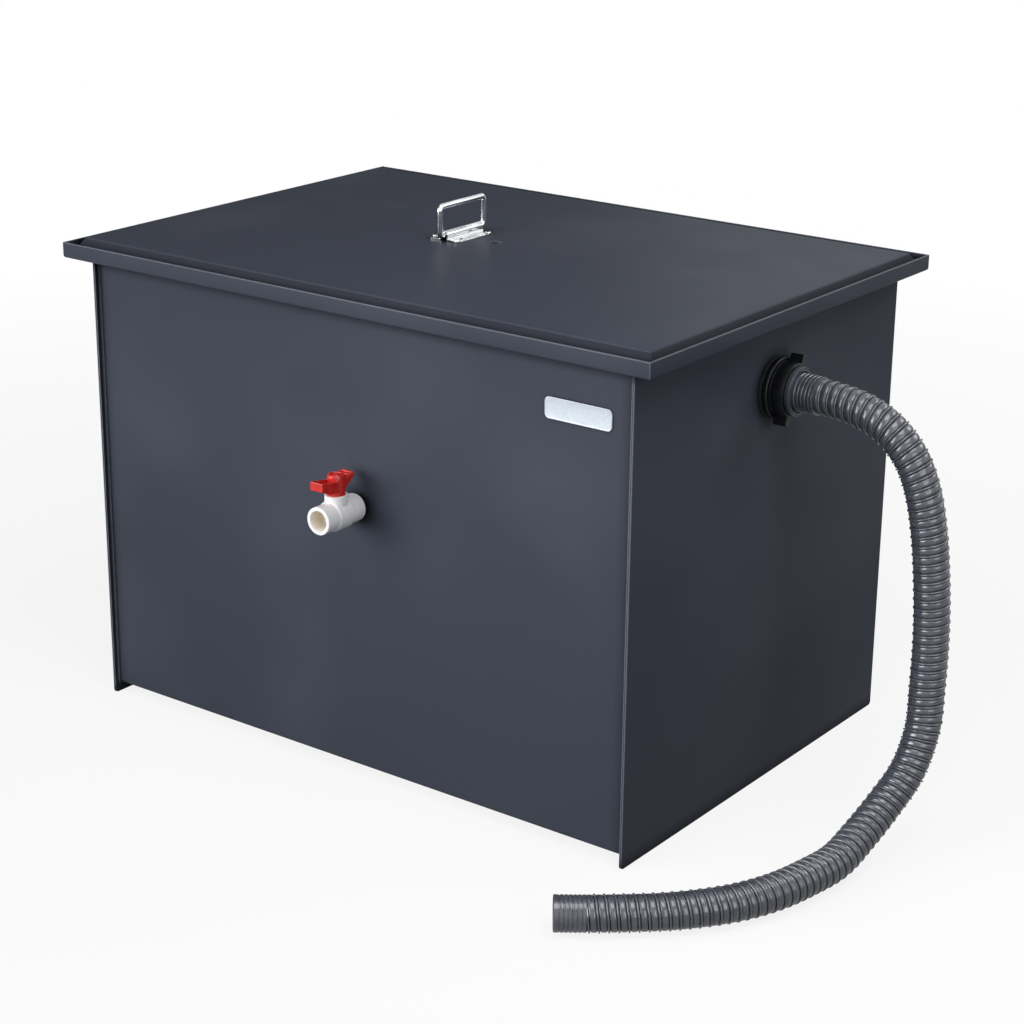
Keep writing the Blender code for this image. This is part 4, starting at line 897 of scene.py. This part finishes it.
def make_valve_body():
    """The valve's moulded body: sockets, fuller middle and neck melted together, then bored."""
    bulge = BULGE_HALF_LENGTH
    outside = [(SOCKET_RADIUS, -VALVE_HALF), (SOCKET_RADIUS, -bulge - 0.6 * MM), (BULGE_RADIUS, -bulge + 1.2 * MM)]
    outside += [(radius, -place) for radius, place in reversed(outside)]
    body = solid_turned("body", outside, VALVE, ALONG_Y)
    neck = rod("neck", NECK_RADIUS, VALVE + ALONG_Z * 2 * MM, ALONG_Z, NECK_TOP - 2 * MM, 96)
    body = combine(body, [neck], "UNION")
    body = softened(body, 0.4 * MM, 5)
    past = VALVE_HALF + 2 * MM
    shelf = VALVE_HALF - SOCKET_DEPTH
    bores = [(BORE_RADIUS + 1.2 * MM, -past)] + offset(BORE_RADIUS, -VALVE_HALF, [(0.5, 0.1), (0, 1.2)])
    bores += [(BORE_RADIUS - 0.4 * MM, -shelf), (PORT_RADIUS, -shelf), (PORT_RADIUS, shelf)]
    bores += [(BORE_RADIUS - 0.1 * MM, shelf), (BORE_RADIUS, past)]
    neck_bore = offset(COLLAR_RADIUS, NECK_TOP, [(0.6, 3), (0.4, -6)]) + offset(STEM_RADIUS, NECK_TOP, [(0.3, -6)])
    neck_bore += offset(STEM_RADIUS, 0, [(0.3, 0)])
    cutters = [
        solid_turned("bores", bores, VALVE, ALONG_Y),
        solid_turned("neck_bore", neck_bore, VALVE, ALONG_Z, 64),
        rod("cavity", CAVITY_RADIUS, VALVE - ALONG_Y * CAVITY_RADIUS, ALONG_Y, 2 * CAVITY_RADIUS, 48),
    ]
    floor, clear = SOCKET_RADIUS - RING_GROOVE_DEPTH, SOCKET_RADIUS + 0.5 * MM
    for start in (-bulge - 1.0 * MM, bulge + 0.3 * MM):
        stop = start + RING_GROOVE_WIDTH
        groove = [(floor, start), (clear, start), (clear, stop), (floor, stop)]
        cutters.append(lathe("groove", groove, VALVE, ALONG_Y))
    mesh = combine(body, cutters, "DIFFERENCE")

    def in_bore(point):
        out = point - VALVE
        near = math.hypot(out.x, out.z) < BORE_RADIUS + 0.2 * MM
        return near and abs(out.y) < VALVE_HALF - 0.6 * MM and out.z < NECK_TOP / 2

    # Painted shade: the bore takes the warmer, darker copy of the white PVC
    two_toned(mesh, "white_plastic", "bore_painted_shade_plastic", in_bore)
    show("valve_casing", mesh, "white_plastic", replaced=["valve_body"], sharp=38)


def make_valve_grip():
    """The butterfly handle: a capped hub and two arms with hollowed tops, moulded in one."""
    top = GRIP_HIGH.z - VALVE.z
    base = GRIP_LOW.z - VALVE.z
    front, back = VALVE.y - GRIP_LOW.y, GRIP_HIGH.y - VALVE.y
    width = 2 * ARM_HALF_WIDTH
    profile = offset(0, top, [(3.2, -0.3), (4.0, -1.2), (5.6, -1.2), (6.4, 0), (7.8, -0.2), (8.8, -1.2)])
    profile += [(COLLAR_RADIUS, top - 4.0 * MM), (COLLAR_RADIUS, base)]
    shells = [solid_turned("hub", profile, VALVE, ALONG_Z)]
    side_view = offset(-front, 0, [(0, 32.0), (13, 26.4)]) + offset(0, 0, [(-6, 26.0), (4, 26.6)])
    side_view += offset(back, 0, [(0, 37.0), (0, 42.0)]) + offset(COLLAR_RADIUS, 0, [(0, 38.0)])
    side_view += offset(-COLLAR_RADIUS, 0, [(0, 37.4)]) + offset(-front, 0, [(0, 40.8)])
    arms = prism("arms", side_view, VALVE - ALONG_X * width / 2, ALONG_X, width, ALONG_Y)
    pockets = []
    start, high = 6 * MM, 46 * MM
    for way, end, floor in ((-1, front - 1.7 * MM, 36.6 * MM), (1, back - 1.6 * MM, 38.2 * MM)):
        outline = [(way * start, 34.0 * MM), (way * end, floor), (way * end, high), (way * start, high)]
        inner = width - 3.4 * MM
        pockets.append(prism("pocket", outline, VALVE - ALONG_X * inner / 2, ALONG_X, inner, ALONG_Y))
    shells.append(combine(arms, pockets, "DIFFERENCE"))
    work = bmesh.new()
    for shell in shells:
        work.from_mesh(shell)
    mesh = softened(mesh_from(work, "grip"), 0.27 * MM, 3)
    socket = rod("socket", STEM_RADIUS + CLEARANCE, VALVE + ALONG_Z * (base - MM), ALONG_Z, 37 * MM - base, 48)
    mesh = combine(mesh, [socket], "DIFFERENCE")
    mesh.materials.clear()
    show("valve_butterfly", mesh, "red_plastic", "valve_core", ["valve_handle"], sharp=45)


def make_valve_washer():
    """The rubber washer between the valve and the tank's front."""
    low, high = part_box("valve_washer")
    middle = Vector((VALVE.x, (low.y + high.y) / 2, VALVE.z))
    half, radius, bore = (high.y - low.y) / 2, (high.x - low.x) / 2, BORE_RADIUS
    profile = filleted([(radius, half), (radius, -half), (bore, -half), (bore, half)], [1.2 * MM, 1.2 * MM, 0, 0])
    mesh = lathe("washer_ring", profile, middle, ALONG_Y, 64)
    show("washer_ring", mesh, "black_rubber", replaced=["valve_washer"])


# Pipe fittings


GASKET = 3 * MM
FLANGE = 6 * MM
NUT_LENGTH = 15.7 * MM
NUT_RIBS = 84
LUG_LEAN = math.radians(25)
LUG_REACH = 36.8 * MM
RING_RADIUS = 25.2 * MM
RING_MOUTH_RADIUS = 21.2 * MM
RING_MOUTH_DEPTH = 3 * MM
FLANGE_RADIUS = 31.5 * MM
GASKET_RADIUS = 31 * MM
STUB_RADIUS = 23 * MM
PIPE_RADIUS = 20.5 * MM
PIPE_BORE = 17 * MM
SKIRT_BORE = 22.9 * MM
NUT_RADIUS = 28.1 * MM
NUT_BODY_RADIUS = 27.9 * MM
NUT_BORE = 23.3 * MM
LUG_ROOT = 26.5 * MM


def make_fitting(end, side):
    """One end's flange, gaskets, lugged nut and coupling ring."""
    axis = ALONG_X * side
    low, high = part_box(f"{end}_bulkhead")
    centre = Vector((side * PLATE_HIGH.x, TANK_Y, (low.z + high.z) / 2))
    flange_start = GASKET + 2 * CLEARANCE
    stub_start = flange_start + FLANGE
    stub_end = max(abs(low.x), abs(high.x)) - PLATE_HIGH.x
    inside = min(abs(low.x), abs(high.x)) - PLATE_HIGH.x
    outline = [(STUB_RADIUS, stub_end), (STUB_RADIUS, stub_start), (FLANGE_RADIUS, stub_start)]
    outline += [(FLANGE_RADIUS, flange_start), (PIPE_RADIUS, flange_start), (PIPE_RADIUS, inside)]
    outline += [(PIPE_BORE, inside), (PIPE_BORE, stub_end)]
    profile = filleted(outline, [size * MM for size in (0.4, 0.8, 1.4, 0.8, 0, 0.4, 0.4, 0.4)])
    mesh = lathe(f"{end}_flange", profile, centre, axis, 128)
    show(f"{end}_flange", mesh, "black_plastic", replaced=[f"{end}_bulkhead"])

    for place, start in (("outer", CLEARANCE), ("inner", -GASKET - 3 * MM - CLEARANCE)):
        bore, stop = PIPE_RADIUS + CLEARANCE, start + GASKET
        ring = [(GASKET_RADIUS, stop), (GASKET_RADIUS, start), (bore, start), (bore, stop)]
        profile = filleted(ring, 0.6 * MM)
        mesh = lathe(f"{end}_{place}_washer", profile, centre, axis)
        show(f"{end}_{place}_washer", mesh, "black_rubber", replaced=[f"{end}_{place}_gasket"])

    make_lug_nut(end, centre, axis, stub_start + CLEARANCE)
    make_coupling_ring(end, centre, axis, stub_start + NUT_LENGTH + 2 * CLEARANCE, stub_end)


def make_lug_nut(end, centre, axis, start):
    """The lugged nut: a finely ribbed sleeve with a beaded rim and two leaning lugs."""
    stop = start + NUT_LENGTH
    outer, body, bore = NUT_RADIUS, NUT_BODY_RADIUS, NUT_BORE
    profile = offset(bore, start, [(0.5, 0)]) + offset(outer, start, [(-0.3, 0), (0, 0.3), (0, 1.2), (-0.1, 1.3)])
    profile += offset(body, start, [(0, 1.5), (0, 1.9)])
    profile += offset(body, stop, [(0, -1.9), (0, -1.5), (0, -0.4), (-0.4, 0)])
    profile += offset(bore, stop, [(0.5, 0), (0, -0.5)]) + offset(bore, start, [(0, 0.5)])
    ribbed = (6, 7)

    def wave(angle, index):
        """The fine ribs round the sleeve's middle."""
        return 0.45 * MM * max(0.0, math.cos(angle * NUT_RIBS)) ** 0.5 if index in ribbed else 0.0

    mesh = lathe(f"{end}_lugged_nut", profile, centre, axis, NUT_RIBS * 6, wave)
    lugs = []
    lean = Quaternion(ALONG_X, -LUG_LEAN)
    for way in (1, -1):
        out = lean @ (ALONG_Z * way)
        across = lean @ ALONG_Y
        outline = [(-3.4 * MM, LUG_ROOT), (3.4 * MM, LUG_ROOT), (3.0 * MM, LUG_REACH), (-3.0 * MM, LUG_REACH)]
        outline = filleted(outline, [0, 0, 0.9 * MM, 0.9 * MM], steps=3)
        rows = []
        for distance, inset in offset(0, 0, [(0.2, 0.5), (0.7, 0)]) + offset(NUT_LENGTH, 0, [(-0.9, 0), (0, 0.7)]):
            row = []
            for x, y in outline:
                shrunk = y - inset if y > (LUG_ROOT + LUG_REACH) / 2 else y
                narrow = x * (1 - inset / (4 * MM))
                row.append(centre + axis * (start + distance) + across * narrow + out * shrunk)
            rows.append(row)
        lugs.append(skin("lug", rows, caps=True))
    mesh = combine(mesh, lugs, "UNION")
    mesh.materials.clear()
    show(f"{end}_lugged_nut", mesh, "black_plastic", replaced=[f"{end}_lug_nut"], sharp=28)


def make_coupling_ring(end, centre, axis, start, stub_end):
    """The grey coupling ring: a flat face with two turned steps, and a skirt inside the nut."""
    reach = max(abs(corner.x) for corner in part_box(f"{end}_coupling_ring")) - PLATE_HIGH.x
    bore = TOP_CUFF_RADIUS + CLEARANCE
    shelf = reach - RING_MOUTH_DEPTH
    profile = offset(RING_RADIUS, start, [(-0.5, 0), (0, 0.5)])
    turned = [(0, -0.9), (-0.4, -0.4), (-1.1, -0.4), (-1.5, -1.0), (-2.1, -1.0), (-2.4, -0.1), (-2.7, 0)]
    profile += offset(RING_RADIUS, reach, turned) + offset(RING_MOUTH_RADIUS, reach, [(0.4, 0), (0, -0.4)])
    profile += [(RING_MOUTH_RADIUS, shelf), (bore, shelf), (bore, stub_end + CLEARANCE)]
    profile += [(SKIRT_BORE, stub_end + CLEARANCE), (SKIRT_BORE, start)]
    mesh = lathe(f"{end}_ring", profile, centre, axis, 128)
    show(f"{end}_ring", mesh, "grey_plastic", replaced=[f"{end}_coupling_ring"], sharp=30)


# The model's own pieces that stay


def dress_model():
    """Gives the model's own pieces their materials, and breaks the edges of its sheets."""
    slots = {part["node"]: part["material_slot"] for part in frame["record"]["subparts"]}
    for name, item in frame["nodes"].items():
        item.data.materials.clear()
        item.data.materials.append(MATERIALS[slots[name]])
    for name in ("tank_wrap", "end_plate_left", "end_plate_right"):
        item = frame["nodes"][name]
        change(item, "WELD", merge_threshold=0.01 * MM)
        edge = {"limit_method": "ANGLE", "angle_limit": math.radians(50), "harden_normals": True}
        change(item, "BEVEL", width=0.6 * MM, segments=3, **edge)


# Floor, light and backdrop


FLOOR_HALF_WIDTH = 25
FLOOR_TOP = -0.1 * MM
FLOOR_THICKNESS = 9.9 * MM
SURROUND_STRENGTH = 0.13


def make_floor():
    """A plain pale floor: white to the camera, with the trap's soft shadow near it."""
    base = ALONG_Z * (FLOOR_TOP - FLOOR_THICKNESS)
    outline = corners(FLOOR_HALF_WIDTH, FLOOR_HALF_WIDTH)
    mesh = prism("floor", outline, base, ALONG_Z, FLOOR_THICKNESS, ALONG_X)
    floor = loose("floor", mesh)
    material = bpy.data.materials.new("pale_floor")
    material.use_nodes = True
    tree = material.node_tree
    tree.nodes.clear()
    rays = add_node(tree, "LightPath").outputs
    place = add_node(tree, "TexCoord").outputs["Object"]
    far = add_node(tree, "VectorMath", links={0: place}, operation="LENGTH").outputs["Value"]
    fade = {"From Min": 0.6, "From Max": 2.2, "To Min": 0.84, "To Max": 1.0}
    white_share = add_node(tree, "MapRange", fade, {"Value": far}).outputs["Result"]
    seen = add_node(tree, "Math", {1: 0.6}, {0: rays["Is Glossy Ray"]}, operation="MULTIPLY")
    seen = add_node(tree, "Math", links={0: rays["Is Transmission Ray"], 1: seen.outputs["Value"]})
    seen = add_node(tree, "Math", links={0: rays["Is Camera Ray"], 1: seen.outputs["Value"]})
    share = add_node(tree, "Math", links={0: white_share, 1: seen.outputs["Value"]}, operation="MULTIPLY")
    shade = {"To Min": 0.15, "To Max": 0.95}
    pale = add_node(tree, "MapRange", shade, {"Value": rays["Is Camera Ray"]})
    matt = add_node(tree, "BsdfDiffuse", links={"Color": pale.outputs["Result"]})
    white = add_node(tree, "Emission", {"Strength": 1.0})
    mixed = add_node(tree, "MixShader", links={"Fac": share.outputs["Value"]})
    tree.links.new(matt.outputs["BSDF"], mixed.inputs[1])
    tree.links.new(white.outputs["Emission"], mixed.inputs[2])
    add_node(tree, "OutputMaterial", links={"Surface": mixed.outputs["Shader"]})
    mesh.materials.append(material)


def make_world():
    """A plain soft surround: white to the camera, and white to metal from a darker horizon up."""
    world = bpy.data.worlds.new("studio")
    bpy.context.scene.world = world
    world.use_nodes = True
    tree = world.node_tree
    tree.nodes.clear()
    rays = add_node(tree, "LightPath").outputs
    toward = add_node(tree, "TexCoord").outputs["Generated"]
    upward = {1: (0.5, -0.1, 0.8)}
    height = add_node(tree, "VectorMath", upward, {0: toward}, operation="DOT_PRODUCT").outputs["Value"]
    rise = {"From Min": 0.0, "From Max": 0.27, "To Min": 0.05, "To Max": 1.0}
    glow = add_node(tree, "MapRange", rise, {"Value": height}, interpolation_type="SMOOTHSTEP")
    plain = {"Color": linear("#FFFFFF")}
    surround = add_node(tree, "Background", {**plain, "Strength": SURROUND_STRENGTH})
    mirrored = add_node(tree, "Background", plain, {"Strength": glow.outputs["Result"]})
    white = add_node(tree, "Background", {**plain, "Strength": 1.0})
    last = surround
    for ray, seen in (("Is Glossy Ray", mirrored), ("Is Transmission Ray", white), ("Is Camera Ray", white)):
        mixed = add_node(tree, "MixShader", links={"Fac": rays[ray]})
        tree.links.new(last.outputs[0], mixed.inputs[1])
        tree.links.new(seen.outputs[0], mixed.inputs[2])
        last = mixed
    add_node(tree, "OutputWorld", links={"Surface": last.outputs[0]})


def make_lamp(name, place, aim, width, height, power, spread=180):
    """One soft rectangular lamp, its beam spreading over some degrees."""
    data = bpy.data.lights.new(name, "AREA")
    data.shape = "RECTANGLE"
    data.size, data.size_y = width, height
    data.energy = power
    data.spread = math.radians(spread)
    lamp = loose(name, data)
    lamp.visible_camera = False
    lamp.location = place
    lamp.rotation_mode = "QUATERNION"
    lamp.rotation_quaternion = (Vector(place) - Vector(aim)).to_track_quat("Z", "Y")


def make_lights():
    """A large soft key from the front left, a fill from the right, two from behind and one above."""
    make_lamp("key", (-0.7, -1.85, 0.95), (0.3, -0.24, 0.56), 2.2, 1.6, 15.5, 74)
    make_lamp("fill", (2.6, -1.0, 0.9), (0, 0, 0.3), 1.5, 1.5, 15)
    make_lamp("side", (1.1, 1.15, 1.3), (0.3, 0.1, 0.4), 0.7, 0.7, 5)
    make_lamp("back", (-0.1, 1.5, 0.97), (0.2, 0, 0.5), 1.2, 0.5, 2)
    make_lamp("above", (0.9, -0.5, 2.0), (0.1, 0, 0.4), 1.2, 1.2, 15)


def main():
    """Makes everything in order: camera and cord first."""
    make_camera()
    make_hose()
    make_rim()
    make_weld("weld_left", -1)
    make_weld("weld_right", 1)
    make_lid()
    make_bail()
    make_handle_plate()
    make_rivets()
    make_bare_plate()
    make_valve_body()
    make_valve_grip()
    make_valve_washer()
    make_fitting("inlet", -1)
    make_fitting("outlet", 1)
    dress_model()
    make_floor()
    make_world()
    make_lights()
    bpy.context.scene.view_settings.view_transform = "Standard"


main()
